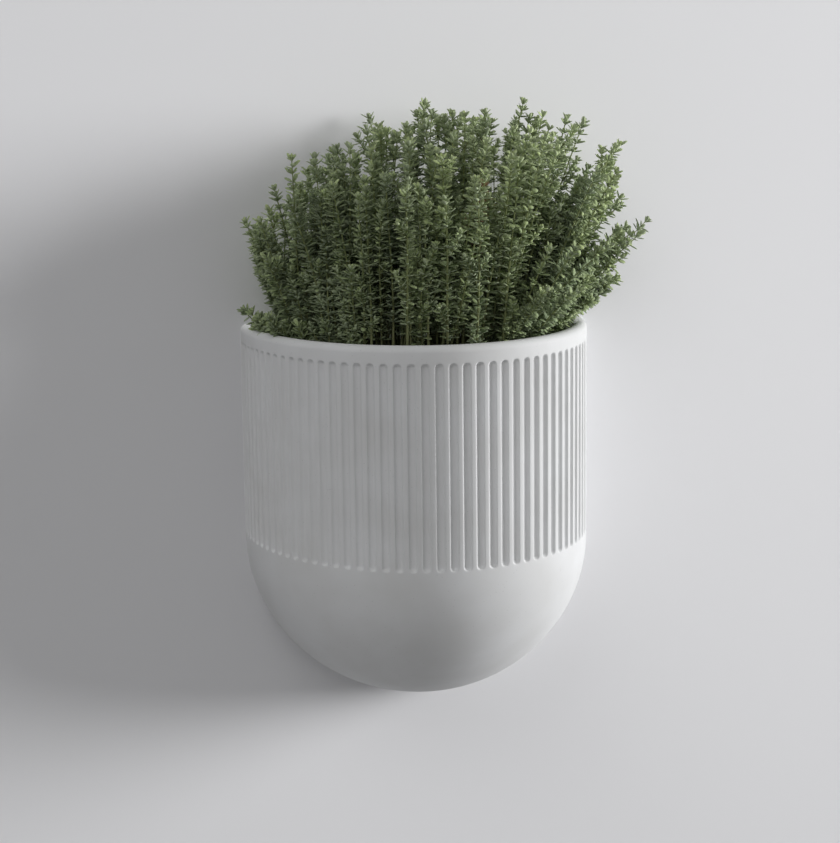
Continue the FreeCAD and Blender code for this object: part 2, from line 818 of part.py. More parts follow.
def check(parts):
    """Stop before anything is written if an object failed or a sub-part has no sound shape."""
    for obj in doc.Objects:
        if "Invalid" in obj.State or "Error" in obj.State:
            raise RuntimeError(f"{obj.Name} could not be built: {obj.State}")
    for part in parts:
        shape = part.Shape
        if shape.isNull() or not shape.isValid() or not shape.Solids:
            raise RuntimeError(f"{part.Name} has no sound shape")
        volume = sum(solid.Volume for solid in shape.Solids)
        print(f"{part.Name}: {len(shape.Solids)} solids, {len(shape.Faces)} faces, {volume:.0f} mm3")


def write(parts):
    """One file for each sub-part."""
    os.makedirs("parts", exist_ok=True)
    for part in parts:
        part.Shape.exportStep(os.path.join("parts", part.Label + ".step"))


sub_parts = build()
check(sub_parts)
write(sub_parts)
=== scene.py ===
import math

import bpy
import numpy as np
from bpy.props import FloatProperty, FloatVectorProperty, IntProperty, PointerProperty
from mathutils import Matrix, Vector
from mathutils.geometry import tessellate_polygon


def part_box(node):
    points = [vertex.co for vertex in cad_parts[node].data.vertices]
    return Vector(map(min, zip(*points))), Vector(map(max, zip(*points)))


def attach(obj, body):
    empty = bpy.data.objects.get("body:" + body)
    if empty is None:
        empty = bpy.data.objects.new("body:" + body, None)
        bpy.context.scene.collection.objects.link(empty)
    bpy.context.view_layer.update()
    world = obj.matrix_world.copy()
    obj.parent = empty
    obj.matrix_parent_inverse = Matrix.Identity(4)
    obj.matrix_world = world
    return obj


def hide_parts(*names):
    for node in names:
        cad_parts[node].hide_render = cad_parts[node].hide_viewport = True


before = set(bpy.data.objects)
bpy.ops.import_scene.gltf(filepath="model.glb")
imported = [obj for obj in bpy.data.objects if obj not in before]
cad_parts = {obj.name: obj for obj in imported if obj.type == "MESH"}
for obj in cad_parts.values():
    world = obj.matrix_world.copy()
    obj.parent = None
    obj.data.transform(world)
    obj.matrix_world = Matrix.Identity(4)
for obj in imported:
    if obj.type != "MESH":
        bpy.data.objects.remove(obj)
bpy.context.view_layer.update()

# A half-round fluted wall planter with its liner, soil and thyme, dressed over its frame.
# Metres, +X to the right as seen from the room, +Y into the wall, +Z up.

bl_info = {
    "name": "Wall Planter",
    "version": (1, 0, 0),
    "blender": (4, 5, 0),
    "location": "View3D > Sidebar > Planter",
    "description": "Builds the surfaces, plants and studio of a half-round wall planter",
    "category": "Object",
}

MM = 0.001
POT_LOW, POT_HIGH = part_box("pot_shell")
SOIL_LOW, SOIL_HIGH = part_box("potting_soil")
PLANTS = ("back_left", "back_middle", "back_right", "front_left", "front_right")


# ---------------------------------------------------------------- sizes and colours


def length(name, description, millimetres):
    """A length that a user may change, given in millimetres."""
    return FloatProperty(
        name=name, description=description, default=millimetres * MM, unit="LENGTH", precision=4
    )


def angle(name, description, degrees):
    """An angle that a user may change, given in degrees."""
    return FloatProperty(
        name=name, description=description, default=math.radians(degrees), subtype="ANGLE"
    )


def power(name, description, watts):
    """A lamp's power that a user may change."""
    return FloatProperty(name=name, description=description, default=watts, unit="POWER")


def linear(colour):
    """Turns an sRGB hex colour, such as "E4E5E6", into linear red, green and blue."""
    parts = [int(colour[index : index + 2], 16) / 255 for index in (0, 2, 4)]
    return tuple(v / 12.92 if v <= 0.04045 else ((v + 0.055) / 1.055) ** 2.4 for v in parts)


def shade(name, description, colour):
    """A colour that a user may change, given as sRGB hex."""
    return FloatVectorProperty(
        name=name, description=description, default=linear(colour), subtype="COLOR", size=3
    )


class PlanterPot(bpy.types.PropertyGroup):
    """Sizes of the ceramic pot."""

    wall: length("Wall", "Ceramic wall at the front and sides", 5.5)
    back_wall: length("Back wall", "Flat ceramic wall on the room's wall", 6.0)
    dome_drop: length("Dome depth", "Depth of the dome under the upright wall", 75.5)
    dome_wall: length("Dome wall", "Ceramic wall at the lowest point", 5.5)
    top_band: length("Top band", "Smooth band between the rim and the flutes", 7.5)
    low_band: length("Low band", "Smooth upright band under the flutes", 1.5)
    lip_round: length("Lip outside", "Rounding of the rim outside", 3.2)
    lip_round_inside: length("Lip inside", "Rounding of the rim inside", 1.8)
    flute_count: IntProperty(name="Flutes", description="Flutes from wall to wall", default=46)
    flute_round: length("Flute round", "Radius of the round that forms a flute", 1.9)
    flute_deep: length("Flute depth", "Depth of a flute", 1.5)
    flute_edge: length("Flute edge", "How far the glaze rounds a flute's edge", 0.35)
    keyhole_spacing: length("Keyhole spacing", "Between the two keyholes", 80.0)
    entry_round: length("Entry radius", "Radius of a keyhole's entry hole", 5.0)
    slot_round: length("Slot radius", "Half the width of a keyhole's slot", 2.5)
    slot_climb: length("Slot climb", "From the entry's centre to the slot's end centre", 9.0)
    glaze: shade("Glaze", "Matt white glaze", "E3E4E5")
    glaze_thin: shade("Thin glaze", "Where the glaze lies thinner", "D6D6D5")


class PlanterPlants(bpy.types.PropertyGroup):
    """Sizes and colours of the thyme."""

    spacing: length("Sprig spacing", "Between sprigs where they leave the soil", 9.6)
    margin: length("Bed margin", "Bare soil between the sprigs and the liner", 5.0)
    high: length("Canopy height", "Tallest sprigs above the pot's rim", 100.0)
    leaf_start: length("Lean start", "Where the lean starts above the pot's rim", 3.0)
    leaf_long: length("Leaf length", "Length of a full-grown leaf", 4.8)
    leaf_half: length("Leaf half width", "Half the width of a full-grown leaf", 1.2)
    pitch: length("Leaf pitch", "Between the nodes of a full-grown sprig", 3.7)
    stem: length("Stem radius", "Radius of a sprig's bare stem", 0.65)
    leaf_dark: shade("Old leaf", "Upper side of an old leaf", "73845F")
    leaf_light: shade("Young leaf", "Upper side of a young leaf", "CBDB99")
    leaf_under: shade("Leaf underside", "Downy underside of a leaf", "BBC5AE")
    stem_green: shade("Green stem", "Young stem", "8E9A66")
    stem_wood: shade("Woody stem", "Old stem near the soil", "6B6A4C")
    dry_leaf: shade("Dry leaf", "Leaf of the dead sprig", "C2A480")
    dry_stem: shade("Dry stem", "Stem of the dead sprig", "8F7A5C")


class PlanterStudio(bpy.types.PropertyGroup):
    """The camera, the wall, the floor and the light."""

    azimuth: angle("Azimuth", "Camera to the left of straight ahead", 8.7404)
    elevation: angle("Elevation", "Camera above level", 10.1657)
    roll: angle("Roll", "Camera turned about its own line of sight", -0.6834)
    distance: length("Distance", "From the camera to its target", 960.0)
    lens: FloatProperty(
        name="Lens", description="Focal length on a 36 mm sensor, in mm", default=87.32
    )
    key_power: power("Key power", "Power of the planter's soft lamp", 45.5)
    wall_power: power("Wall power", "Power of the wall's soft lamp", 22.0)
    back_power: power("Back power", "Power of the soft lamp behind the wall", 17.0)
    front_power: power("Front power", "Power of the faint lamp overhead", 16.0)
    fill: FloatProperty(
        name="Fill", description="Strength of the even light from all sides", default=0.32
    )
    wall: shade("Wall", "Painted wall", "DFDFE1")
    wall_bounce: shade("Wall's light", "Colour of the light that the wall throws back", "B6B6B8")
    floor: shade("Floor", "Pale floor", "D6D6D6")
    floor_bounce: shade("Floor's light", "Colour of the light that the floor throws back", "B4B4B4")


# ---------------------------------------------------------------- shader nodes


def add(tree, kind, settings=None, inputs=None):
    """Adds a shader node, with its settings, and links or sets its inputs."""
    made = tree.nodes.new("ShaderNode" + kind)
    for key, value in (settings or {}).items():
        setattr(made, key, value)
    for key, value in (inputs or {}).items():
        if isinstance(value, bpy.types.NodeSocket):
            tree.links.new(value, made.inputs[key])
        else:
            made.inputs[key].default_value = value
    return made


def maths(tree, operation, *values, clamp=False):
    """The result of a math node on up to three values."""
    settings = {"operation": operation, "use_clamp": clamp}
    return add(tree, "Math", settings, dict(enumerate(values))).outputs[0]


def spread(tree, value, low=0.0, high=1.0, to_low=0.0, to_high=1.0):
    """Carries a value from one span to another and holds it inside the second."""
    spans = {"Value": value, "From Min": low, "From Max": high, "To Min": to_low, "To Max": to_high}
    return add(tree, "MapRange", None, spans).outputs[0]


def rgba(colour):
    """A linear colour with full alpha."""
    return (*tuple(colour)[:3], 1.0)


def blend(tree, factor, first, second):
    """Mixes two colours."""
    return add(tree, "Mix", {"data_type": "RGBA"}, {0: factor, 6: first, 7: second}).outputs[2]


def noise(tree, place, size, detail):
    """A cloudy pattern from 0 to 1, with clouds of about this size."""
    settings = {"Vector": place, "Scale": 1 / size, "Detail": detail}
    return add(tree, "TexNoise", None, settings).outputs[0]


def bumped(tree, height, strength, distance):
    """A normal that leans with the slopes of a height."""
    settings = {"Height": height, "Strength": strength, "Distance": distance}
    return add(tree, "Bump", None, settings).outputs[0]


def new_material(name):
    """A material with an empty tree."""
    material = bpy.data.materials.new(name)
    material.use_nodes = True
    material.node_tree.nodes.clear()
    return material, material.node_tree


def object_place(tree):
    """The place on the object, in metres."""
    return add(tree, "TexCoord").outputs["Object"]


def surface(tree, colour, roughness, normal, others):
    """Ends a material with one shader; others holds its further inputs by name."""
    inputs = {"Base Color": colour, "Roughness": roughness, "Normal": normal, **others}
    shader = add(tree, "BsdfPrincipled", None, inputs)
    add(tree, "OutputMaterial", None, {"Surface": shader.outputs[0]})


def matt_glazed_stoneware(pot):
    """Slip-cast stoneware under a sprayed matt white glaze.

    To the eye: a broad soft sheen, faint clouds where the spray lay thinner, and a skin
    as fine as an eggshell's.
    """
    material, tree = new_material("matt_glazed_stoneware")
    place = object_place(tree)
    # Clouds of spray 30 mm across, and an eggshell grain of 0.6 mm.
    cloud = noise(tree, place, 30 * MM, 3.0)
    grain = noise(tree, place, 0.6 * MM, 2.0)
    # Pinholes 0.5 mm across, one to each 2.4 mm, but none where the glaze lies thinnest.
    cell = add(tree, "TexVoronoi", None, {"Vector": place, "Scale": 1 / (2.4 * MM)})
    pinhole = maths(
        tree,
        "MAXIMUM",
        spread(tree, cell.outputs["Distance"], 0.05, 0.12),
        spread(tree, cloud, 0.56, 0.6),
    )
    thin = spread(tree, cloud, 0.35, 0.7, to_high=0.55)
    colour = blend(tree, thin, rgba(pot.glaze), rgba(pot.glaze_thin))
    # A pinhole is drawn darker, down to 0.86 of the glaze's colour.
    pinhole_darkening = spread(tree, pinhole, to_low=0.86)
    tinted = add(tree, "VectorMath", {"operation": "SCALE"}, {0: colour, "Scale": pinhole_darkening})
    rough = spread(tree, cloud, 0.3, 0.7, 0.58, 0.68)
    height = maths(tree, "MULTIPLY_ADD", pinhole, 1.5, grain)
    skin = bumped(tree, height, 0.35, 0.03 * MM)
    surface(tree, tinted.outputs[0], rough, skin, {"IOR": 1.5, "Specular IOR Level": 0.2})
    return material


def grainy(name, first, second, grain, rough, bump, metallic=0.0):
    """A solid of two mixed colours with a fine grain: its size, roughness and bump height.

    To the eye: peat, fired clay, moulded plastic or plated steel, by its grain and sheen.
    """
    material, tree = new_material(name)
    place = object_place(tree)
    fine = noise(tree, place, grain, 6.0)
    broad = noise(tree, place, 8 * grain, 2.0)
    share = spread(tree, maths(tree, "MULTIPLY_ADD", fine, 0.6, broad), 0.55, 1.05)
    colour = blend(tree, share, rgba(linear(first)), rgba(linear(second)))
    level = spread(tree, broad, to_low=rough - 0.08, to_high=rough + 0.08)
    surface(tree, colour, level, bumped(tree, fine, 0.8, bump), {"Metallic": metallic})
    return material


def living_leaf(name, dark, light, under, green, wood):
    """Leaves and stems of thyme, painted by the mesh's own "tone" attribute.

    Its red is the age, from old to young, which in the undergrowth also carries painted shade,
    darker the lower a shoot ends; its green the underside and its blue the stem.
    To the eye: small matt leaves, paler and downy below, on stems that turn woody.
    """
    material, tree = new_material(name)
    tone = add(tree, "Attribute", {"attribute_name": "tone"}).outputs["Color"]
    young, below, stem = add(tree, "SeparateColor", None, {0: tone}).outputs
    # Mottling 1.2 mm across, a quarter of a leaf.
    mottle = noise(tree, object_place(tree), 1.2 * MM, 2.0)
    age = maths(tree, "ADD", young, spread(tree, mottle, 0.3, 0.7, -0.12, 0.12), clamp=True)
    upper = blend(tree, age, rgba(dark), rgba(light))
    blade = blend(tree, maths(tree, "MULTIPLY", below, 0.75), upper, rgba(under))
    bark = blend(tree, young, rgba(wood), rgba(green))
    colour = blend(tree, stem, blade, bark)
    skin = bumped(tree, mottle, 0.4, 0.1 * MM)
    surface(tree, colour, 0.72, skin, {"Specular IOR Level": 0.3})
    return material


# ---------------------------------------------------------------- meshes from arrays


def new_piece(name, points, faces, material, body=None, replaces=()):
    """Puts points and faces, both whole arrays, into a mesh object at the origin.

    faces is a list of arrays, each with one row of vertex numbers for each face.
    """
    mesh = bpy.data.meshes.new(name)
    sides = np.concatenate([np.full(len(part), part.shape[1]) for part in faces])
    corners = np.concatenate([part.ravel() for part in faces])
    mesh.vertices.add(len(points))
    mesh.loops.add(len(corners))
    mesh.polygons.add(len(sides))
    mesh.vertices.foreach_set("co", np.asarray(points, dtype=np.float32).ravel())
    mesh.loops.foreach_set("vertex_index", corners.astype(np.int32))
    starts = np.concatenate(([0], np.cumsum(sides)[:-1]))
    mesh.polygons.foreach_set("loop_start", starts.astype(np.int32))
    mesh.update(calc_edges=True)
    mesh.materials.append(material)
    piece = bpy.data.objects.new(name, mesh)
    bpy.context.scene.collection.objects.link(piece)
    if body:
        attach(piece, body)
    if replaces:
        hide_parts(*replaces)
    return piece


def smooth(piece, degrees):
    """Smooth shading, with an edge kept sharp where its faces turn by more than the angle."""
    piece.data.shade_smooth()
    piece.data.set_sharp_from_angle(angle=math.radians(degrees))


def capped(rows, columns):
    """Faces of a grid of points whose columns close into a round: its quads and its two ends.

    The ends are fans of triangles to two poles, whose points follow the grid's.
    """
    row = np.arange(rows - 1)[:, None] * columns
    here = np.arange(columns)[None, :]
    there = (here + 1) % columns
    above = row + columns
    quads = np.stack((row + here, row + there, above + there, above + here), axis=-1)
    first = np.arange(columns)
    last = first + (rows - 1) * columns
    pole = np.full(columns, rows * columns)
    fans = (
        np.stack((pole, np.roll(first, -1), first), axis=-1),
        np.stack((pole + 1, last, np.roll(last, -1)), axis=-1),
    )
    return [quads.reshape(-1, 4), *fans]


def signed_volume(points, faces):
    """The volume inside closed faces; it is negative if they point inwards."""
    total = 0.0
    for part in faces:
        for corner in range(1, part.shape[1] - 1):
            a, b, c = (points[part[:, index]] for index in (0, corner, corner + 1))
            total += np.einsum("ij,ij->", a, np.cross(b, c)) / 6
    return total


def facing_out(points, faces):
    """The faces, all turned over if they point inwards."""
    return faces if signed_volume(points, faces) > 0 else [part[:, ::-1] for part in faces]


def closed_mesh(grid, poles):
    """Points and outward faces of a grid that is closed all round, with a pole at each end."""
    points = np.concatenate((grid.reshape(-1, 3), poles))
    return points, facing_out(points, capped(*grid.shape[:2]))


# ---------------------------------------------------------------- the ceramic pot

FLUTE_HEIGHT = 90.5 * MM
# Places across a flute, and past its round ends, as shares of its half width.
FLUTE_STEPS = np.array((0, 0.32, 0.62, 0.8, 0.9, 0.97, 1.04, 1.12, 1.25))
PAST_FLUTE = 1.55
# One more level section stands at this share of the way up between the flutes' ends.
LOW_SECTION = 0.25
DOME_ROWS = 34
INNER_DOME_ROWS = 16
LIP_ROWS = 8
INNER_LIP_ROWS = 5
# Short chords along which the half ellipse is measured.
CHORDS = 4000
# The stretch of the back wall between this height and the flutes' upper ends is one plate,
# from which the keyholes are cut.
KEYHOLE_ROW = -25 * MM
ENTRY_POINTS = 49
SLOT_POINTS = 17
# A keyhole's rounded edge, and how many such widths out its flat surround ends, which keeps
# the rounding's slanted normals off the plate. Then the rounding's points, as how far they
# lie inside the wall and outside the hole, in such widths.
KEYHOLE_EDGE = 0.4 * MM
KEYHOLE_FLAT = 2.0
KEYHOLE_ROUNDING = ((0.0, 1.0), (0.3, 0.3), (1.0, 0.0))
# Edges of the pot that turn by more degrees than this stay sharp.
POT_SHARP = 35


def turns_at(half_width, depth, places):
    """Angles t on the half ellipse x = -half_width cos t, y = -depth sin t, and its length.

    places are shares of that length, which is summed over many short chords.
    """
    turn = np.linspace(0, math.pi, CHORDS + 1)
    chords = np.hypot(np.diff(half_width * np.cos(turn)), np.diff(depth * np.sin(turn)))
    run = np.concatenate(([0.0], np.cumsum(chords)))
    return np.interp(np.asarray(places) * run[-1], run, turn), run[-1]


def flute_half(pot):
    """Half a flute's width at the pot's face: a round of flute_round sunk flute_deep deep."""
    return math.sqrt(pot.flute_round**2 - (pot.flute_round - pot.flute_deep) ** 2)


def flute_depth(distance, pot):
    """How deep a flute is at a distance from its middle line, with a softly rounded edge.

    A cubic bowl, c = deep (1 - (d/w)^3), passes to the flat face by (c + sqrt(c^2 + e^2)) / 2.
    """
    bowl = pot.flute_deep * (1 - (distance / flute_half(pot)) ** 3)
    return (bowl + np.sqrt(bowl**2 + pot.flute_edge**2)) / 2


def flute_ends(pot):
    """Heights of the centres of a flute's lower and upper round end."""
    top = POT_HIGH[2] - pot.top_band
    return top - FLUTE_HEIGHT + pot.flute_round, top - pot.flute_round


def quarter(rows):
    """Angles of a quarter turn in even steps."""
    return np.linspace(0, math.pi / 2, rows + 1)


def pot_rows(pot):
    """The pot's level sections, from its lowest point over the rim and down inside.

    Each row is half width, depth, back line and height. The rows outside, the rows inside
    and the two poles are given apart. A dome's row is sin(u) of the wall's section at
    cos(u) of its drop.
    """
    half_width, depth, rim = POT_HIGH[0], -POT_LOW[1], POT_HIGH[2]
    equator = rim - pot.top_band - pot.low_band - FLUTE_HEIGHT
    outside, inside = [], []
    for turn in quarter(DOME_ROWS)[1:]:
        size, height = math.sin(turn), equator - pot.dome_drop * math.cos(turn)
        outside.append((half_width * size, depth * size, 0.0, height))
    low_end, high_end = flute_ends(pot)
    beyond = np.append(FLUTE_STEPS, PAST_FLUTE) * flute_half(pot)
    heights = [*(low_end - beyond[::-1]), low_end + LOW_SECTION * (high_end - low_end)]
    heights += [KEYHOLE_ROW, *(high_end + beyond), rim - pot.lip_round]
    outside += [(half_width, depth, 0.0, height) for height in heights]
    for turn in quarter(LIP_ROWS)[1:]:
        inset = pot.lip_round * (1 - math.cos(turn))
        height = rim - pot.lip_round * (1 - math.sin(turn))
        outside.append((half_width - inset, depth - inset, 0.0, height))
    for turn in quarter(INNER_LIP_ROWS):
        inset = pot.wall - pot.lip_round_inside * (1 - math.sin(turn))
        height = rim - pot.lip_round_inside * (1 - math.cos(turn))
        back = pot.back_wall - pot.wall + inset
        inside.append((half_width - inset, depth - inset, back, height))
    inner_half, inner_depth = half_width - pot.wall, depth - pot.wall
    for height in (high_end, KEYHOLE_ROW, equator):
        inside.append((inner_half, inner_depth, pot.back_wall, height))
    least = math.asin(pot.back_wall / inner_depth)
    drop = pot.dome_drop - pot.dome_wall
    for turn in np.linspace(math.pi / 2, least, INNER_DOME_ROWS + 1)[1:-1]:
        size, height = math.sin(turn), equator - drop * math.cos(turn)
        inside.append((inner_half * size, inner_depth * size, pot.back_wall, height))
    poles = (
        (0.0, 0.0, equator - pot.dome_drop),
        (0.0, -pot.back_wall, equator - drop * math.cos(least)),
    )
    return np.array(outside), np.array(inside), np.array(poles)


def pot_surface(pot):
    """The casting's whole skin as one closed grid: bottom, outside, rim, inside, two poles.

    A column stands at the same share of the half ellipse in every row: x = -a cos t,
    y = -b sin t, where t runs between the two places where y is the row's back line.
    Outside, points move inwards along the wall's level normal by the flute's depth.
    """
    outside, inside, poles = pot_rows(pot)
    rows = np.concatenate((outside, inside))
    half_width, depth = POT_HIGH[0], -POT_LOW[1]
    count = pot.flute_count
    arc = turns_at(half_width, depth, (1.0,))[1]
    pitch = arc / count
    middles = (np.arange(count) + 0.5) * pitch
    steps = FLUTE_STEPS * flute_half(pot)
    across = np.concatenate((-steps[:0:-1], steps))
    on_flutes = (middles[:, None] + across).ravel()
    run = np.sort(np.concatenate((on_flutes, np.arange(count + 1) * pitch)))
    turn = turns_at(half_width, depth, run / arc)[0]
    a, b, back, height = (column[:, None] for column in rows.T)
    start = np.arcsin(back / b)
    t = start + (math.pi - 2 * start) * turn / math.pi
    x, y = -a * np.cos(t), -b * np.sin(t)
    to_middle = np.abs(run[:, None] - middles).min(axis=1)
    low_end, high_end = flute_ends(pot)
    past_end = np.maximum(0, np.maximum(low_end - height, height - high_end))
    depth_in = flute_depth(np.hypot(to_middle[None, :], past_end), pot)
    depth_in[len(outside) :] = 0
    normal_x, normal_y = x / a**2, y / b**2
    scale = depth_in / np.hypot(normal_x, normal_y)
    x, y = x - normal_x * scale, y - normal_y * scale
    y[: len(outside), (0, -1)] = 0.0
    grid = np.stack((x, y, np.broadcast_to(height, x.shape)), axis=-1)
    return grid, len(outside), poles


def keyhole_ring(pot, side, grow, y):
    """A keyhole's outline at y: the entry's round, then the slot's two sides and end."""
    entry = pot.entry_round + grow
    slot = pot.slot_round + grow
    meet = math.asin(slot / entry)
    low = np.linspace(meet, 2 * math.pi - meet, ENTRY_POINTS)
    top = np.linspace(0, math.pi, SLOT_POINTS)
    x = np.concatenate((entry * np.sin(low), -slot * np.cos(top)))
    z = np.concatenate((entry * np.cos(low), pot.slot_climb + slot * np.sin(top)))
    x = side * pot.keyhole_spacing / 2 + x
    return np.stack((x, np.full_like(x, y), z), axis=-1)


def back_plate(pot, y, corners, outward):
    """A flat plate at y with two keyholes cut from it: its points and triangles.

    outward is 1 if the plate faces the wall, along +Y, and -1 if it faces the room.
    """
    flat = KEYHOLE_FLAT * KEYHOLE_EDGE
    outlines = [corners] + [keyhole_ring(pot, side, flat, y) for side in (-1, 1)]
    triangles = np.array(tessellate_polygon([[Vector(p) for p in line] for line in outlines]))
    points = np.concatenate(outlines)
    a, b, c = (points[triangles[:, index]] for index in range(3))
    turned = np.sign(np.cross(b - a, c - a)[:, 1]) != outward
    triangles[turned] = triangles[turned][:, ::-1]
    return points, triangles


def pot_mesh(pot):
    """Points and faces of the pot: the skin, the two plates with keyholes, and their tunnels."""
    grid, outer_rows, poles = pot_surface(pot)
    rows, columns = grid.shape[:2]
    points = [grid.reshape(-1, 3), poles]
    quads, *ends = capped(rows, columns)
    from_row = np.abs(grid[:, 0, 2] - KEYHOLE_ROW)
    outer_strip = int(np.argmin(from_row[:outer_rows]))
    inner_strip = outer_rows + int(np.argmin(from_row[outer_rows:])) - 1
    keep = np.ones((rows - 1, columns), dtype=bool)
    keep[[outer_strip, inner_strip], -1] = False
    faces = facing_out(np.concatenate(points), [quads[keep.ravel()], *ends])
    base = rows * columns + len(poles)
    plate_rings = []
    for strip, y, outward in ((outer_strip, 0.0, 1), (inner_strip, -pot.back_wall, -1)):
        low, high = strip * columns, (strip + 1) * columns
        corner_ids = np.array((low, low + columns - 1, high + columns - 1, high))
        plate_points, triangles = back_plate(pot, y, points[0][corner_ids], outward)
        added = plate_points[len(corner_ids) :]
        where = np.concatenate((corner_ids, base + np.arange(len(added))))
        points.append(added)
        faces.append(where[triangles])
        plate_rings.append(base)
        base += len(added)
    ring = len(added) // 2
    into, grow = np.array(KEYHOLE_ROUNDING).T * KEYHOLE_EDGE
    levels = np.concatenate((into, (pot.back_wall - into)[::-1]))
    grows = np.concatenate((grow, grow[::-1]))
    around = np.arange(ring)
    after = np.roll(around, -1)
    for index, side in enumerate((-1, 1)):
        points += [keyhole_ring(pot, side, grown, -level) for level, grown in zip(levels, grows)]
        first, last = (start + index * ring for start in plate_rings)
        rings = [first, *(base + step * ring for step in range(len(levels))), last]
        base += len(levels) * ring
        for low, high in zip(rings, rings[1:]):
            sides = (low + around, low + after, high + after, high + around)
            faces.append(np.stack(sides, axis=-1))
    return np.concatenate(points), faces


class PLANTER_OT_pot(bpy.types.Operator):
    """Build the glazed pot with its flutes, rounded rim and keyholes"""

    bl_idname = "planter.pot"
    bl_label = "Ceramic pot"

    def execute(self, context):
        pot = context.scene.planter_pot
        points, faces = pot_mesh(pot)
        glaze = matt_glazed_stoneware(pot)
        piece = new_piece("pot_glazed", points, faces, glaze, "pot", ("pot_shell",))
        smooth(piece, POT_SHARP)
        return {"FINISHED"}


# ---------------------------------------------------------------- fixings and liner


def repaint(node, material):
    """Gives a carried-over piece of the frame its finish."""
    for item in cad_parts[node].material_slots:
        item.material = material


class PLANTER_OT_fixings(bpy.types.Operator):
    """Finish the screws and the wall plugs"""

    bl_idname = "planter.fixings"
    bl_label = "Screws and wall plugs"

    def execute(self, context):
        # Zinc-plated steel: a cool sheen with a fine crystal grain of 0.4 mm.
        zinc = grainy("zinc_plated_steel", "B9BCC0", "A3A7AC", 0.4 * MM, 0.34, 0.004 * MM, 1.0)
        # Moulded nylon: mid grey with the fine grain of its mould.
        nylon = grainy("moulded_nylon", "8E9194", "85888B", 0.5 * MM, 0.5, 0.01 * MM)
        for side in ("left", "right"):
            repaint("screw_" + side, zinc)
            repaint("wall_plug_" + side, nylon)
        return {"FINISHED"}


class PLANTER_OT_liner(bpy.types.Operator):
    """Finish the plastic liner and the clay balls in it"""

    bl_idname = "planter.liner"
    bl_label = "Liner and drainage"

    def execute(self, context):
        # Vacuum-formed polystyrene: near black, satin, with a leathery grain of 0.8 mm.
        formed = grainy("formed_polystyrene", "1D1E1F", "242526", 0.8 * MM, 0.42, 0.02 * MM)
        repaint("liner", formed)
        # Fired clay: warm brown, dry and porous, with pores of 0.7 mm.
        clay = grainy("fired_clay", "8A5A3E", "6E4630", 0.7 * MM, 0.85, 0.25 * MM)
        repaint("drainage_pebbles", clay)
        return {"FINISHED"}


# ---------------------------------------------------------------- soil and root plugs

SOIL_SPOKES = 240
SOIL_RINGS = 44
# The height of the soil's bumps, its gap to the liner, and how much narrower its foot is.
SOIL_WAVE = 0.8 * MM
SOIL_EDGE = 0.2 * MM
SOIL_TAPER = 0.13
# The share of the soil's outline that follows the round front; the rest is the flat back.
SOIL_ROUND = 0.7
# A root plug's foot is this much narrower than its top, and the rings at its two ends start
# at this share of its radius.
PLUG_FOOT = 10 / 14
PLUG_INNERMOST = 0.15
PLUG_SPOKES = 64
PLUG_END_RINGS = 6
PLUG_SIDE_RINGS = 22
# Bumps are sines in this many directions, each longer or shorter than asked by these shares.
WAVES = 6
WAVE_SIZES = (0.7, 1.6)
SOIL_SHARP = 50


def waves(points, size, seed):
    """A smooth bumpy field from -1 to 1: sines in random directions, about size apart."""
    random = np.random.default_rng(seed)
    field = np.zeros(points.shape[:-1])
    for _ in range(WAVES):
        direction = random.normal(size=3)
        direction *= 2 * math.pi / (size * random.uniform(*WAVE_SIZES)) / np.linalg.norm(direction)
        field += np.sin(points @ direction + random.uniform(0, 2 * math.pi))
    return field / WAVES


def root_places():
    """Centre, foot, top and radius of each root plug, from its box in the frame."""
    found = []
    for plant in PLANTS:
        low, high = (np.array(corner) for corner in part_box("root_plug_" + plant))
        found.append(((low + high) / 2, low[2], high[2], (high[0] - low[0]) / 2))
    return found


def soil_outline(share_down):
    """The soil's outline at a share of its height from the top: a half oval, drawn in below."""
    across = np.linspace(0, 1, SOIL_SPOKES, endpoint=False)
    shrink = 1 - SOIL_TAPER * share_down
    half = (SOIL_HIGH[0] - SOIL_EDGE) * shrink
    depth = (-SOIL_LOW[1] - SOIL_EDGE) * shrink
    back = -SOIL_HIGH[1] + SOIL_EDGE
    start = math.asin(back / depth)
    on_round = across < SOIL_ROUND
    turn = start + (math.pi - 2 * start) * across / SOIL_ROUND
    straight = (across - SOIL_ROUND) / (1 - SOIL_ROUND)
    end_x = half * math.cos(start)
    x = np.where(on_round, -half * np.cos(turn), end_x * (1 - 2 * straight))
    y = np.where(on_round, -depth * np.sin(turn), -back)
    return x, y


def soil_mesh():
    """A closed mass: a bumpy top as rings about one middle, straight sides and a flat foot.

    The top dips to the foot of each root plug inside that plug's radius.
    """
    middle = np.array((0.0, (SOIL_LOW[1] + SOIL_HIGH[1]) / 2))
    x, y = soil_outline(0.0)
    share_out = (np.arange(1, SOIL_RINGS + 1) / SOIL_RINGS)[:, None]
    top_x = middle[0] + (x - middle[0]) * share_out
    top_y = middle[1] + (y - middle[1]) * share_out
    top = np.stack((top_x, top_y, np.full_like(top_x, SOIL_HIGH[2])), axis=-1)
    # Clods 9 mm apart and crumbs 3 mm apart.
    bumps = 0.6 * waves(top, 9 * MM, 5) + 0.4 * waves(top, 3 * MM, 6)
    top[..., 2] += SOIL_WAVE * (bumps - 1)
    for centre, foot, _, radius in root_places():
        inside = np.hypot(top[..., 0] - centre[0], top[..., 1] - centre[1]) < radius + SOIL_EDGE
        top[..., 2] = np.where(inside, foot - SOIL_EDGE, top[..., 2])
    x, y = soil_outline(1.0)
    foot_ring = np.stack((x, y, np.full_like(x, SOIL_LOW[2])), axis=-1)[None]
    poles = np.array(((*middle, SOIL_HIGH[2] - SOIL_WAVE), (*middle, SOIL_LOW[2])))
    return closed_mesh(np.concatenate((top, foot_ring)), poles)


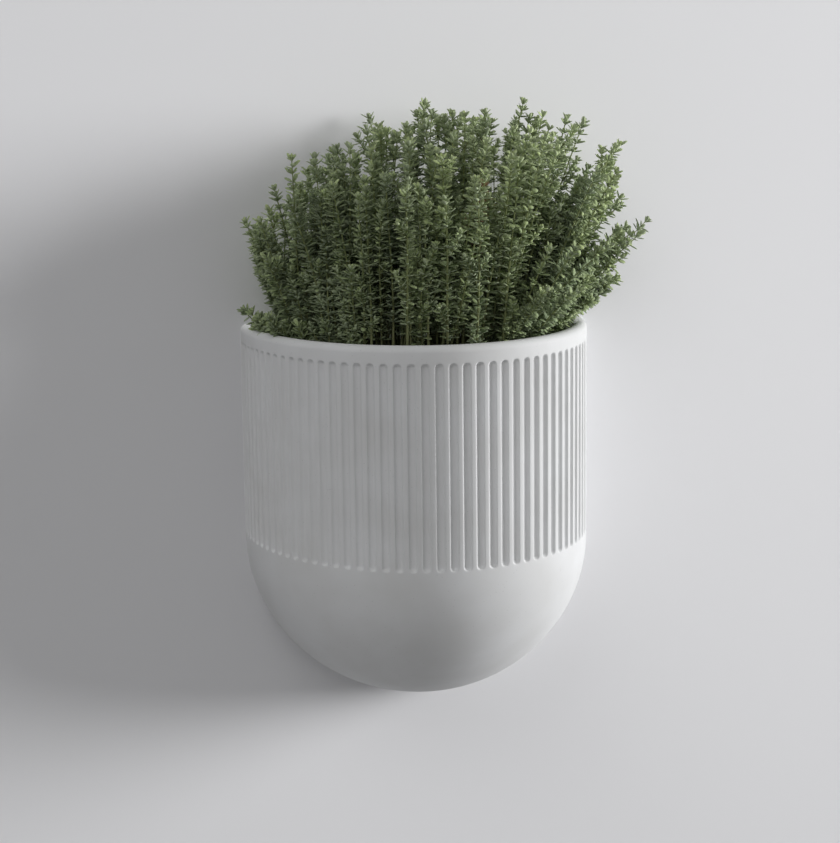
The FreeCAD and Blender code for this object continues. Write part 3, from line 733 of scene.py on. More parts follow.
def plug_mesh(centre, foot, top, radius, seed):
    """A root plug: a cone's skin drawn in by bumps, closed at both ends."""
    turn = np.linspace(0, 2 * math.pi, PLUG_SPOKES, endpoint=False)
    sides = np.linspace(foot, top, PLUG_SIDE_RINGS + 2)[1:-1]
    heights = np.concatenate((np.full(PLUG_END_RINGS, foot), sides, np.full(PLUG_END_RINGS, top)))
    taper = radius * (PLUG_FOOT + (1 - PLUG_FOOT) * (heights - foot) / (top - foot))
    end = np.linspace(PLUG_INNERMOST, 1, PLUG_END_RINGS)
    out = (taper * np.concatenate((end, np.ones(PLUG_SIDE_RINGS), end[::-1])))[:, None]
    x, y = centre[0] + out * np.cos(turn), centre[1] + out * np.sin(turn)
    grid = np.stack((x, y, np.broadcast_to(heights[:, None], x.shape)), axis=-1)
    # Root knots 6 mm apart and crumbs 2.5 mm apart.
    bumps = 1 + 0.5 * waves(grid, 6 * MM, seed) + 0.5 * waves(grid, 2.5 * MM, seed + 1)
    bumps = SOIL_WAVE * bumps / 2
    inwards = np.array((centre[0], centre[1], (foot + top) / 2)) - grid
    grid += inwards * (bumps / np.linalg.norm(inwards, axis=-1))[..., None]
    ends = (foot + SOIL_WAVE, top - SOIL_WAVE)
    return closed_mesh(grid, np.array([(centre[0], centre[1], height) for height in ends]))


class PLANTER_OT_soil(bpy.types.Operator):
    """Build the potting soil and the root plugs in it"""

    bl_idname = "planter.soil"
    bl_label = "Soil and root plugs"

    def execute(self, context):
        # Moist peat: dark, dull and crumbly, with crumbs of 1.5 mm.
        peat = grainy("moist_peat", "2B2119", "4A3A2C", 1.5 * MM, 0.92, 0.5 * MM)
        points, faces = soil_mesh()
        soil = new_piece("soil_crumbly", points, faces, peat, "insert", ("potting_soil",))
        smooth(soil, SOIL_SHARP)
        # Peat bound by fine roots: a little paler and closer than loose soil.
        bound = grainy("rooted_peat", "33271D", "5A4A38", 0.9 * MM, 0.9, 0.3 * MM)
        for index, (plant, place) in enumerate(zip(PLANTS, root_places())):
            points, faces = plug_mesh(*place, 20 + 2 * index)
            name, node = "rooted_plug_" + plant, "root_plug_" + plant
            plug = new_piece(name, points, faces, bound, "insert", (node,))
            smooth(plug, SOIL_SHARP)
        return {"FINISHED"}


# ---------------------------------------------------------------- where the thyme stands

# How the plants lean, as slopes, and how high they grow, as shares of the tallest.
LEAN_MIDDLE = 0.03
LEAN_SIDE = 0.15
LEAN_OVER_RIM = 1.05
LEAN_BEND = 4
LEAN_FORWARD = 0.22
LEFT_SHORTER = 0.50
RIGHT_SHORTER = 0.65
RIGHT_FALLS_FROM = 0.65
FALL_BEND = 1.5
FRONT_SHORTER = 0.35
UNEVEN = 0.04
UNEVEN_ACROSS = 16.32
UNEVEN_FORWARD = 22.08
# Two special sprigs stand nearest to these places, as shares of the bed across and forward:
# the dead one, which is shorter and leans differently, and the one young, light green one.
DRY_PLACE = (0.33, 0.45)
DRY_SHARE = 0.76
DRY_LEAN = (-0.18, -0.32)
FRESH_PLACE = (-0.02, 0.75)
# The undergrowth's spacing as a share of the sprigs', its bed's half width and depth as
# shares of theirs, and how far its shoots stray.
LOW_SPACING = 0.78
LOW_BED = (0.97, 0.9)
LOW_STRAY = 0.9 * MM


def bed(plants):
    """The bed's half width, front and back at the soil's top, from the soil's own box."""
    half_width = SOIL_HIGH[0] - plants.margin
    return half_width, -SOIL_LOW[1] - plants.margin, -SOIL_HIGH[1] + plants.margin


def lattice(spacing, back, half_width, depth):
    """Places on staggered rows that fill the half oval, as an array of x and y."""
    row_gap = spacing * math.sqrt(3) / 2
    rows = np.arange(math.ceil((depth - back) / row_gap))
    reach = math.ceil(half_width / spacing) + 1
    columns = np.arange(-reach, reach + 1)
    x = columns[None, :] * spacing + spacing / 2 * (rows % 2)[:, None]
    y = np.broadcast_to((-back - rows * row_gap)[:, None], x.shape)
    inside = (x / half_width) ** 2 + (y / depth) ** 2 < 1
    return np.stack((x[inside], y[inside]), axis=-1)


def growth(places, plants):
    """Slopes to the right and to the front, and height over the lean's start, of each sprig."""
    half_width, depth, back = bed(plants)
    x, y = places[:, 0], places[:, 1]
    across = x / half_width
    forward = (-y - back) / (depth - back)
    right, left = np.maximum(0, across), np.maximum(0, -across)
    lean_x = LEAN_MIDDLE + LEAN_SIDE * across + LEAN_OVER_RIM * right**LEAN_BEND
    lean_y = -LEAN_FORWARD * forward
    fall = np.maximum(0, (across - RIGHT_FALLS_FROM) / (1 - RIGHT_FALLS_FROM))
    size = 1 - LEFT_SHORTER * left**FALL_BEND - RIGHT_SHORTER * fall**FALL_BEND
    size *= 1 - FRONT_SHORTER * forward**2
    size *= 1 + UNEVEN * np.sin((x * UNEVEN_ACROSS + y * UNEVEN_FORWARD) / plants.spacing)
    return lean_x, lean_y, size * plants.high - plants.leaf_start


def nearest(places, plants, across, forward):
    """The number of the place nearest to a point, given as shares of the bed."""
    half_width, depth, back = bed(plants)
    wanted = np.array((across * half_width, -back - forward * (depth - back)))
    return int(np.argmin(np.linalg.norm(places - wanted, axis=1)))


def planting(plants):
    """The sprigs' places and the undergrowth's, each with the number of its nearest plant."""
    half_width, depth, back = bed(plants)
    main = lattice(plants.spacing, back, half_width, depth)
    low_back = back + plants.spacing / 2
    low = lattice(
        plants.spacing * LOW_SPACING, low_back, half_width * LOW_BED[0], depth * LOW_BED[1]
    )
    low = low + np.random.default_rng(3).normal(0, LOW_STRAY, low.shape)
    crowns = np.array([centre[:2] for centre, _, _, _ in root_places()])
    away = [np.linalg.norm(places[:, None] - crowns, axis=2) for places in (main, low)]
    return main, np.argmin(away[0], axis=1), low, np.argmin(away[1], axis=1)


# ---------------------------------------------------------------- leaves and stems

# One leaf: a base point, three sections of left edge, upper middle, right edge and lower
# middle, and a tip. Columns: along, across, lift as a share of the half width, underside.
LEAF_SECTIONS = ((0.18, 0.62), (0.52, 1.0), (0.85, 0.72))
LEAF_POINTS = np.array(
    [(0.0, 0.0, 0.0, 0.5)]
    + [
        point
        for along, wide in LEAF_SECTIONS
        for point in (
            (along, -wide, 0.10, 0.35),
            (along, 0.0, -0.20 * wide, 0.0),
            (along, wide, 0.10, 0.35),
            (along, 0.0, -0.42 * wide, 1.0),
        )
    ]
    + [(1.0, 0.0, 0.0, 0.4)]
)
# The leaves at one node: where they stand around the stem, how much smaller and closer to
# the stem they are, from 0 to 1, and how often they are there.
NODE_TURNS = np.array(
    (0, math.pi, math.pi / 2, -math.pi / 2, 0.7, -0.7, math.pi + 0.7, math.pi - 0.7)
)
NODE_SMALL = np.array((0, 0, 0.4, 0.4, 1, 1, 1, 1))
NODE_OFTEN = np.array((1, 1, 0.9, 0.9, 0.8, 0.8, 0.8, 0.8))
SMALL_CLOSER = 0.32
SMALL_SHORTER = 0.34
SMALL_HIGHER = 0.5 * MM
# A stem: its sides and steps, how it wavers, as a share of its length, with the bends and
# the shift of its waves, how much it tapers, and its age at its foot, if young, and by its tip.
STEM_SIDES = 6
STEM_STEPS = 10
STEM_SWING = 0.018
STEM_BENDS = (5, 4)
STEM_SHIFT = 6
STEM_TAPER = 0.6
STEM_AGE = (0.1, 0.3, 0.7)
# How the nodes near a shoot's tip differ from those far down: for the k-th node, by the first
# number times exp(-k / the second). The gap below it is less by that share, its leaves stand
# off the stem by that many degrees less and are smaller by that share, and younger by that.
GAP_AT_TIP = (0.75, 3)
OPEN_AT_TIP = (34, 2)
SIZE_AT_TIP = (0.12, 1.3)
YOUTH_AT_TIP = (0.25, 2.5)
MOST_NODES = 60
LEAF_OPEN = 68
# How far leaves differ by chance: along the stem in gaps, around it and from it in radians,
# in size, in width, in how far they bend back, and in age.
STRAY_ALONG = 0.15
STRAY_AROUND = 0.35
STRAY_OPEN = 0.24
LEAF_SIZES = (0.82, 1.15)
LEAF_WIDTHS = (0.85, 1.15)
LEAF_BENDS = (0.06, 0.3)
STRAY_AGE = 0.1
# Leaves start at this share of the stem's radius. The stem's direction at a node is taken
# over this share of its length to each side.
LEAF_SEAT = 0.7
DIRECTION_REACH = 0.04
# Side shoots: how many nodes next to the tip carry none, their least and most length as
# shares of the longest, the share of it that stands out steeply, how far that foot and the
# tip lean out, how much younger they are than their stem, and their stem's radius, their
# bare length and their leaves' size.
TIP_NODES = 3
SIDE_LENGTHS = (0.45, 1.0)
SIDE_FOOT = 0.45
SIDE_FOOT_OUT = 0.9
SIDE_TIP_OUT = 0.35
SIDE_TINT = (-0.08, 0.14)
SIDE_STEM = 0.42 * MM
SIDE_BARE = 1.0 * MM
SIDE_SIZE = 0.8


def leaf_faces():
    """Triangles of one leaf: four at its base, sixteen between its sections, four at its tip."""
    faces = []
    for side in range(4):
        after = (side + 1) % 4
        faces.append((0, 1 + after, 1 + side))
        for section in range(2):
            low, high = 1 + 4 * section, 5 + 4 * section
            faces.append((low + side, low + after, high + after))
            faces.append((low + side, high + after, high + side))
        faces.append((13, 9 + side, 9 + after))
    return np.array(faces)


LEAF_FACES = leaf_faces()


def unit(vectors):
    """Each vector at a length of one."""
    return vectors / np.linalg.norm(vectors, axis=-1, keepdims=True)


def crosswise(along):
    """Two directions square to each direction of a stem and to each other."""
    side = unit(np.cross(along, (0.0, 1.0, 0.0)))
    return side, np.cross(along, side)


def curve(start, knee, end, steps):
    """A stem's line (1-s)^2 A + 2 s (1-s) B + s^2 C at each step s."""
    s = np.asarray(steps)[:, None]
    return (1 - s) ** 2 * start + 2 * s * (1 - s) * knee + s**2 * end


def along_line(line, steps, s):
    """Points of a line, given at its steps, at other steps s."""
    return np.stack([np.interp(s, steps, line[:, axis]) for axis in range(3)], axis=-1)


def at_tip(order, most, nodes):
    """What is added at a node by its order from the tip: most exp(-order / nodes)."""
    return most * np.exp(-order / nodes)


class Foliage:
    """Leaves and stems of one plant, gathered as arrays before they become one mesh."""

    def __init__(self, plants, seed):
        self.plants = plants
        self.random = np.random.default_rng(seed)
        self.points, self.faces, self.tones = [], [], []
        self.count = 0

    def put(self, points, faces, tones):
        """Adds a part with its own count of points."""
        self.points.append(points)
        self.faces.append(faces + self.count)
        self.tones.append(tones)
        self.count += len(points)

    def tube(self, path, radius, young):
        """A stem: a ring of points about each point of its path, closed at both ends."""
        side, other = crosswise(unit(np.gradient(path, axis=0)))
        turn = np.linspace(0, 2 * math.pi, STEM_SIDES, endpoint=False)[:, None]
        ring = side[:, None] * np.cos(turn) + other[:, None] * np.sin(turn)
        grid = path[:, None] + ring * radius[:, None, None]
        points = np.concatenate((grid.reshape(-1, 3), path[:1], path[-1:]))
        quads, *ends = capped(len(path), STEM_SIDES)
        faces = np.concatenate((quads[:, :3], quads[:, [0, 2, 3]], *ends))
        tones = np.ones((len(points), 4))
        tones[:-2, 0] = np.repeat(young, STEM_SIDES)
        tones[-2:, 0] = young[0], young[-1]
        tones[:, 1] = 0.0
        self.put(points, faces, tones)

    def leaves(self, base, along, upper, long, half, bend, young):
        """Leaves at base points: blades along `along` that face `upper`, bent back by `bend`.

        A point of the blade lies at v long along, u half across, and is lowered by
        bend v^2 long.
        """
        v, u, lift, under = LEAF_POINTS.T
        side = np.cross(along, upper)
        out = (v * long[:, None])[..., None] * along[:, None]
        wide = (u * half[:, None])[..., None] * side[:, None]
        drop = lift * half[:, None] - bend[:, None] * v**2 * long[:, None]
        points = base[:, None] + out + wide + drop[..., None] * upper[:, None]
        count = len(base)
        faces = LEAF_FACES[None] + (np.arange(count) * len(LEAF_POINTS))[:, None, None]
        tones = np.zeros((count, len(LEAF_POINTS), 4))
        tones[..., 0] = young[:, None]
        tones[..., 1] = under
        tones[..., 3] = 1.0
        self.put(points.reshape(-1, 3), faces.reshape(-1, 3), tones.reshape(-1, 4))

    def shoot(self, start, knee, end, radius, leafless, size, young, fullness=1.0):
        """A stem along a curve with leaves at its nodes, each node a quarter turn on.

        The nodes crowd together towards the tip: the gap below the k-th is
        pitch (1 - 0.75 exp(-k / 3)). leafless is the length below that carries no leaves,
        size is that of its leaves and gaps beside a main sprig's, and fullness the share of
        its leaves that are there. Returns the nodes' points and directions.
        """
        random, plants = self.random, self.plants
        steps = np.linspace(0, 1, STEM_STEPS)
        path = curve(start, knee, end, steps)
        reach = np.linalg.norm(np.diff(path, axis=0), axis=1).sum()
        waver = random.uniform(-1, 1, (2, 2))
        swing = reach * STEM_SWING
        for axis, bends in enumerate(STEM_BENDS):
            wide, shift = waver[axis]
            path[:, axis] += swing * wide * np.sin(bends * steps + STEM_SHIFT * shift) * steps
        thin = radius * (1 - STEM_TAPER * steps)
        foot_age, young_age, tip_age = STEM_AGE
        self.tube(path, thin, np.clip(foot_age + young_age * young + tip_age * steps, 0, 1))
        pitch = plants.pitch * size
        gaps = pitch * (1 - at_tip(np.arange(MOST_NODES), *GAP_AT_TIP))
        down = np.cumsum(gaps) - gaps[0]
        down = down[down < reach - leafless]
        if len(down) == 0:
            return np.zeros((0, 3)), np.zeros((0, 3))
        down = down + random.uniform(-STRAY_ALONG, STRAY_ALONG, len(down)) * pitch * (down > 0)
        s = np.clip(1 - down / reach, 0, 1)
        point = along_line(path, steps, s)
        ahead = along_line(path, steps, np.clip(s + DIRECTION_REACH, 0, 1))
        behind = along_line(path, steps, np.clip(s - DIRECTION_REACH, 0, 1))
        along = unit(ahead - behind)
        side, other = crosswise(along)
        order = np.arange(len(s))
        shape = (len(s), len(NODE_TURNS))
        turn = random.uniform(0, 2 * math.pi) + order * math.pi / 2
        turn = turn[:, None] + NODE_TURNS + random.uniform(-STRAY_AROUND, STRAY_AROUND, shape)
        radial = side[:, None] * np.cos(turn)[..., None] + other[:, None] * np.sin(turn)[..., None]
        open_up = np.radians(LEAF_OPEN - at_tip(order, *OPEN_AT_TIP))[:, None]
        open_up = open_up - SMALL_CLOSER * NODE_SMALL
        open_up = open_up + random.uniform(-STRAY_OPEN, STRAY_OPEN, shape)
        grown = (1 - at_tip(order, *SIZE_AT_TIP))[:, None] * (1 - SMALL_SHORTER * NODE_SMALL)
        grown = grown * size * random.uniform(*LEAF_SIZES, shape)
        cosine, sine = np.cos(open_up)[..., None], np.sin(open_up)[..., None]
        blade = cosine * along[:, None] + sine * radial
        upper = sine * along[:, None] - cosine * radial
        base = point[:, None] + np.interp(s, steps, thin)[:, None, None] * radial * LEAF_SEAT
        base = base + (SMALL_HIGHER * NODE_SMALL * size)[:, None] * along[:, None]
        keep = random.uniform(0, 1, shape) < fullness * NODE_OFTEN
        tone = young + at_tip(order, *YOUTH_AT_TIP)[:, None] + random.normal(0, STRAY_AGE, shape)
        half = grown * plants.leaf_half * random.uniform(*LEAF_WIDTHS, shape)
        bend = random.uniform(*LEAF_BENDS, shape)
        long = grown * plants.leaf_long
        parts = (base, blade, upper, long, half, bend, np.clip(tone, 0, 1))
        self.leaves(*(part[keep] for part in parts))
        return point, along

    def side_shoots(self, points, along, chance, longest, young):
        """Short shoots from some of a stem's nodes, which bend up towards its direction."""
        random = self.random
        for point, direction in zip(points[TIP_NODES:], along[TIP_NODES:]):
            if random.uniform() > chance:
                continue
            turn = random.uniform(0, 2 * math.pi)
            aside = np.array((math.cos(turn), math.sin(turn), 0.0))
            reach = random.uniform(*SIDE_LENGTHS) * longest
            knee = point + unit(direction + SIDE_FOOT_OUT * aside) * reach * SIDE_FOOT
            end = knee + unit(direction + SIDE_TIP_OUT * aside) * reach * (1 - SIDE_FOOT)
            tint = young + random.uniform(*SIDE_TINT)
            self.shoot(point, knee, end, SIDE_STEM, SIDE_BARE, SIDE_SIZE, tint)


# ---------------------------------------------------------------- the thyme

STEM_FOOT = SOIL_HIGH[2] - SOIL_WAVE
# A main sprig's height as shares of its rod's in the frame, less what its top leaves add.
SHORTEST, TALLEST = 0.92, 1.02
LEAF_REACH = 3 * MM
# Towards the right end the shoots lean less and are lower than the rods, by up to these shares.
UPRIGHT_RIGHT = 0.16
LOWER_RIGHT = 0.08
# Stems are bare for this far above the soil in the middle, and less so at the sides. That
# differs by chance between the last two, and is at most a share of the sprig's height.
BARE_MIDDLE = 24 * MM
BARE_LESS_RIGHT = 17 * MM
BARE_LESS_LEFT = 6 * MM
BARE_STRAY = (-12, 7)
BARE_MOST = 0.6
# How far a sprig's slopes and its bend stray by chance, and the share of its rise at which
# the bend lies.
SPRIG_STRAY = 0.068
KNEE_STRAY = 3.0 * MM
KNEE_SHARE = 0.15
# The chance of a side shoot at a node in the middle, what the right end adds, and their reach.
SIDE_CHANCE = 0.18
SIDE_CHANCE_RIGHT = 0.25
SIDE_REACH = 13 * MM
# A sprig's youth in the middle, what the right end adds, how it differs by chance, and that
# of the fresh and of the dead sprig.
YOUTH = 0.26
YOUTH_RIGHT = 0.16
YOUTH_STRAY = (-0.2, 0.24)
YOUTH_FRESH = 0.9
YOUTH_DRY = 0.6

# The undergrowth: its heights as shares of the sprigs', what is added to them, how its slopes
# and its knees stray, its youth at the soil, by its height and by chance, its stem's radius,
# its bare length and fullness, and its side shoots' chance and reach. The youth by height is
# painted shade: the lower a shoot ends, the darker its leaves, deep in the bed.
LOW_HEIGHTS = (0.4, 1.0)
LOW_RISE = 14 * MM
LOW_LEAN_STRAY = 0.09
LOW_KNEE_STRAY = 2 * MM
LOW_YOUTH_AND_SHADE = (0.18, 0.3, 0.1)
LOW_STEM = 0.5 * MM
LOW_BARE = 14 * MM
LOW_FULL = 0.9
LOW_SIDES = (0.12, 9 * MM)

# Low shoots that lean out over the rim at both ends of the pot. They root near the bed's
# outline, between two angles from its left end: name, first and last angle, how many, the
# straight foot's height, how much higher they end, their slopes, and how near the outline.
EDGES = (
    ("left_high", 24, 60, 15, 17 * MM, 54 * MM, 80 * MM, -0.05, 0.18, 0.78),
    ("left", 11, 32, 26, 17 * MM, 10 * MM, 48 * MM, 0.26, 0.56, 0.90),
    ("left_low", 6, 36, 26, 5 * MM, 7 * MM, 19 * MM, 0.50, 1.30, 0.97),
    ("right_high", 134, 166, 18, 17 * MM, 36 * MM, 68 * MM, 0.25, 0.62, 0.72),
    ("right", 125, 166, 30, 17 * MM, 12 * MM, 42 * MM, 0.60, 1.38, 0.80),
    ("right_low", 118, 168, 22, 14 * MM, 8 * MM, 22 * MM, 0.90, 2.00, 0.93),
)
# Their lean to the front as a share of that to the side, how it strays, their greatest youth,
# their stem's radius, their bare share of the straight foot, their leaves' size, and their
# side shoots' chance and reach.
EDGE_FORWARD = 0.5
EDGE_STRAY = 0.2
EDGE_YOUTH = 0.4
EDGE_STEM = 0.55 * MM
EDGE_BARE = 0.6
EDGE_SIZE = 0.95
EDGE_SIDES = (0.25, 12 * MM)


def towards_right(place, plants):
    """How far right a place lies, as a share of the bed, and its shares of lean and height."""
    right = max(0.0, place[0] / bed(plants)[0])
    return right, 1 - UPRIGHT_RIGHT * right**2, 1 - LOWER_RIGHT * right**3


def sprig(foliage, place, rule, young, height=1.0):
    """One main sprig: upright out of the soil to the rim, then along its lean."""
    plants, random = foliage.plants, foliage.random
    lean_x, lean_y, rise = rule
    right, leaning, lower = towards_right(place, plants)
    left = max(0.0, -place[0] / bed(plants)[0])
    foot = np.array((*place, STEM_FOOT))
    start = np.array((*place, POT_HIGH[2] + plants.leaf_start))
    rise = rise * random.uniform(SHORTEST, TALLEST) * height - LEAF_REACH
    rise *= lower
    lean = np.array((*random.normal((lean_x * leaning, lean_y), SPRIG_STRAY), 1.0))
    end = start + lean * rise
    knee = start + np.array((*random.normal(0, KNEE_STRAY, 2), KNEE_SHARE * rise))
    leafless = BARE_MIDDLE - BARE_LESS_RIGHT * right - BARE_LESS_LEFT * left**2
    leafless = min(leafless + random.uniform(*BARE_STRAY) * MM, BARE_MOST * (end[2] - foot[2]))
    points, along = foliage.shoot(foot, knee, end, plants.stem, leafless, 1.0, young)
    chance = SIDE_CHANCE + SIDE_CHANCE_RIGHT * right
    foliage.side_shoots(points, along, chance, SIDE_REACH, young)


def undergrowth(foliage, places):
    """Shorter shoots between the sprigs, which fill the bed, with painted shade: the lower they
    end, the darker their leaves.
    """
    random, plants = foliage.random, foliage.plants
    at_soil, painted_shade_by_height, by_chance = LOW_YOUTH_AND_SHADE
    for place, lean_x, lean_y, tall in zip(places, *growth(places, plants)):
        _, leaning, lower = towards_right(place, plants)
        foot = np.array((*place, STEM_FOOT))
        reach = random.uniform(*LOW_HEIGHTS)
        lean = np.array((*random.normal((lean_x * leaning, lean_y), LOW_LEAN_STRAY), 1.0))
        end = foot + lean * reach * (tall * lower) + np.array((0, 0, LOW_RISE))
        knee = (foot + end) / 2 + np.array((*random.normal(0, LOW_KNEE_STRAY, 2), 0.0))
        # Painted shade: a shoot that ends lower gets older, darker leaves.
        young = at_soil + painted_shade_by_height * reach + random.uniform(-by_chance, by_chance)
        stem = (LOW_STEM, LOW_BARE, 1.0)
        points, along = foliage.shoot(foot, knee, end, *stem, young, LOW_FULL)
        foliage.side_shoots(points, along, *LOW_SIDES, young)


def edging(foliage, first, last, many, straight, low, high, least, most, inmost):
    """Low leafy shoots near one end of the pot that lean out over its rim."""
    random, plants = foliage.random, foliage.plants
    half_width, depth, back = bed(plants)
    for _ in range(many):
        turn = math.radians(random.uniform(first, last))
        out = np.array((-math.cos(turn), -EDGE_FORWARD * math.sin(turn), 0.0))
        near = random.uniform(inmost, 1.0)
        x = -near * half_width * math.cos(turn)
        y = -max(back, near * depth * math.sin(turn))
        foot = np.array((x, y, STEM_FOOT))
        knee = foot + np.array((0, 0, straight))
        slope = random.uniform(least, most)
        aside = np.array((0.0, random.normal(0.0, EDGE_STRAY), 1.0))
        end = knee + (slope * out + aside) * random.uniform(low, high)
        young = random.uniform(0.0, EDGE_YOUTH)
        stem = (EDGE_STEM, EDGE_BARE * straight, EDGE_SIZE)
        points, along = foliage.shoot(foot, knee, end, *stem, young)
        foliage.side_shoots(points, along, *EDGE_SIDES, young)


def plant_out(foliage, name, material, node):
    """Turns one plant's gathered arrays into a piece that stands for its node."""
    points, faces = np.concatenate(foliage.points), [np.concatenate(foliage.faces)]
    piece = new_piece(name, points, faces, material, "insert", (node,))
    tones = piece.data.attributes.new("tone", "FLOAT_COLOR", "POINT")
    tones.data.foreach_set("color", np.concatenate(foliage.tones).astype(np.float32).ravel())
    piece.data.shade_smooth()


class PLANTER_OT_thyme(bpy.types.Operator):
    """Grow the five thyme plants, leaf by leaf"""

    bl_idname = "planter.thyme"
    bl_label = "Thyme"

    def execute(self, context):
        plants = context.scene.planter_plants
        leaf = living_leaf(
            "thyme_leaf_and_stem",
            plants.leaf_dark,
            plants.leaf_light,
            plants.leaf_under,
            plants.stem_green,
            plants.stem_wood,
        )
        places, owners, low_places, low_owners = planting(plants)
        rules = np.stack(growth(places, plants), axis=-1)
        dry = nearest(places, plants, *DRY_PLACE)
        fresh = nearest(places, plants, *FRESH_PLACE)
        for index, plant in enumerate(PLANTS):
            foliage = Foliage(plants, seed=100 + index)
            for number in np.flatnonzero(owners == index):
                if number == dry:
                    continue
                across = places[number, 0] / bed(plants)[0]
                young = YOUTH + YOUTH_RIGHT * across + foliage.random.uniform(*YOUTH_STRAY)
                if number == fresh:
                    young = YOUTH_FRESH
                sprig(foliage, places[number], rules[number], float(young))
            plant_out(foliage, "thyme_leafy_" + plant, leaf, "thyme_" + plant)
            lower = Foliage(plants, seed=200 + index)
            undergrowth(lower, low_places[low_owners == index])
            plant_out(lower, "thyme_low_" + plant, leaf, "thyme_" + plant)
        for index, (name, *shape) in enumerate(EDGES):
            low = Foliage(plants, seed=300 + index)
            edging(low, *shape)
            node = "thyme_back_left" if name.startswith("left") else "thyme_back_right"
            plant_out(low, "thyme_rim_" + name, leaf, node)
        return {"FINISHED"}


class PLANTER_OT_dry_sprig(bpy.types.Operator):
    """Grow the one dead, orange-brown sprig"""

    bl_idname = "planter.dry_sprig"
    bl_label = "Dry sprig"

    def execute(self, context):
        plants = context.scene.planter_plants
        withered = living_leaf(
            "withered_leaf_and_stem",
            plants.dry_stem,
            plants.dry_leaf,
            plants.dry_leaf,
            plants.dry_stem,
            plants.stem_wood,
        )
        places = planting(plants)[0]
        dry = nearest(places, plants, *DRY_PLACE)
        rules = np.stack(growth(places[dry][None], plants), axis=-1)
        rules[0, :2] += DRY_LEAN
        foliage = Foliage(plants, seed=7)
        sprig(foliage, places[dry], rules[0], YOUTH_DRY, DRY_SHARE)
        plant_out(foliage, "withered_sprig", withered, "dry_sprig")
        return {"FINISHED"}


# ---------------------------------------------------------------- the stage

# What the camera faces, then how far the wall lies behind the pot's back, how far wall and
# floor reach to each side and up, and how far below the origin the floor lies.
TARGET = Vector((3.0, 0.0, -26.8)) * MM
WALL_GAP = 0.3 * MM
WALL_REACH = 2.6
FLOOR_BELOW = 0.42
# How bright the floor's own glow and the ground behind everything look to the camera.
FLOOR_GLOW = 0.34
BACKDROP = 0.72
# Each lamp: how far it is turned from straight ahead to the right and raised, in degrees,
# its distance and diameter, the full angle that it lights, in degrees, and what it faces.
KEY_LAMP = (85, 3, 2.2, 0.9, 180, (0, 0, 0))
WALL_LAMP = (74, 12.5, 3.0, 1.5, 60, (0.1, 0, 0.12))
BACK_LAMP = (180, 20, 2.0, 1.6, 180, (0, 0, 0))
FRONT_LAMP = (-35, 45, 3.0, 2.2, 180, (0, 0, 0))


def seen_ray(tree):
    """1 for what the camera sees, straight, in a reflection or through glass, and 0 for light."""
    path = add(tree, "LightPath").outputs
    mirrored = maths(tree, "MAXIMUM", path["Is Camera Ray"], path["Is Glossy Ray"])
    return maths(tree, "MAXIMUM", mirrored, path["Is Transmission Ray"])


def from_the_front(tree, shader):
    """Ends a stage material, which shows on a surface's front and is clear from behind."""
    behind = add(tree, "NewGeometry").outputs["Backfacing"]
    clear = add(tree, "BsdfTransparent").outputs[0]
    either = add(tree, "MixShader", None, {0: behind, 1: shader.outputs[0], 2: clear})
    add(tree, "OutputMaterial", None, {"Surface": either.outputs[0]})


def painted_wall(studio):
    """A matt painted wall, which looks paler than the light that it throws back."""
    material, tree = new_material("painted_wall")
    colour = blend(tree, seen_ray(tree), rgba(studio.wall_bounce), rgba(studio.wall))
    from_the_front(tree, add(tree, "BsdfDiffuse", None, {"Color": colour}))
    return material


def pale_floor(studio):
    """A plain matt floor, which looks paler than the light that it throws back."""
    material, tree = new_material("pale_floor")
    seen = seen_ray(tree)
    inputs = {
        "Base Color": blend(tree, seen, rgba(studio.floor_bounce), rgba(studio.floor)),
        "Roughness": 0.9,
        "Specular IOR Level": 0.1,
        "Emission Color": (1.0, 1.0, 1.0, 1.0),
        "Emission Strength": maths(tree, "MULTIPLY", seen, FLOOR_GLOW),
    }
    from_the_front(tree, add(tree, "BsdfPrincipled", None, inputs))
    return material


def studio_world(studio):
    """Even light from all sides, with a paler ground behind everything for the eye."""
    world = bpy.data.worlds.new("studio")
    world.use_nodes = True
    tree = world.node_tree
    tree.nodes.clear()
    strength = spread(tree, seen_ray(tree), to_low=studio.fill, to_high=BACKDROP)
    light = add(tree, "Background", None, {"Color": (1, 1, 1, 1), "Strength": strength})
    add(tree, "OutputWorld", None, {"Surface": light.outputs[0]})
    return world


def plane(name, corners, material):
    """A flat stage surface through four corners, which are given as seen from its front."""
    stage = new_piece(name, np.array(corners), [np.array([[0, 1, 2, 3]])], material)
    return stage


def heading(azimuth, elevation):
    """The direction from the planter that is turned to the right and raised by two angles."""
    level = math.cos(elevation)
    return Vector((math.sin(azimuth) * level, -math.cos(azimuth) * level, math.sin(elevation)))


def camera(studio):
    """The camera at the photograph's angle: behind its target by the distance, then rolled."""
    back = heading(-studio.azimuth, studio.elevation)
    right = (-back).cross(Vector((0, 0, 1))).normalized()
    up = back.cross(right)
    roll = studio.roll
    across = right * math.cos(roll) + up * math.sin(roll)
    upward = up * math.cos(roll) - right * math.sin(roll)
    turn = Matrix((across, upward, back)).transposed().to_4x4()
    data = bpy.data.cameras.new("camera")
    data.sensor_width = 36.0
    data.lens = studio.lens
    eye = bpy.data.objects.new("camera", data)
    eye.matrix_world = Matrix.Translation(TARGET + back * studio.distance) @ turn
    bpy.context.scene.collection.objects.link(eye)
    bpy.context.scene.camera = eye


def lamp(name, watts, azimuth, elevation, distance, size, lit, aim):
    """A round lamp, turned from straight ahead to the right and raised, that faces a point."""
    data = bpy.data.lights.new(name, "AREA")
    data.shape = "DISK"
    data.size = size
    data.energy = watts
    data.spread = math.radians(lit)
    made = bpy.data.objects.new(name, data)
    made.location = heading(math.radians(azimuth), math.radians(elevation)) * distance
    made.rotation_euler = (made.location - Vector(aim)).to_track_quat("Z", "Y").to_euler()
    bpy.context.scene.collection.objects.link(made)
    return made


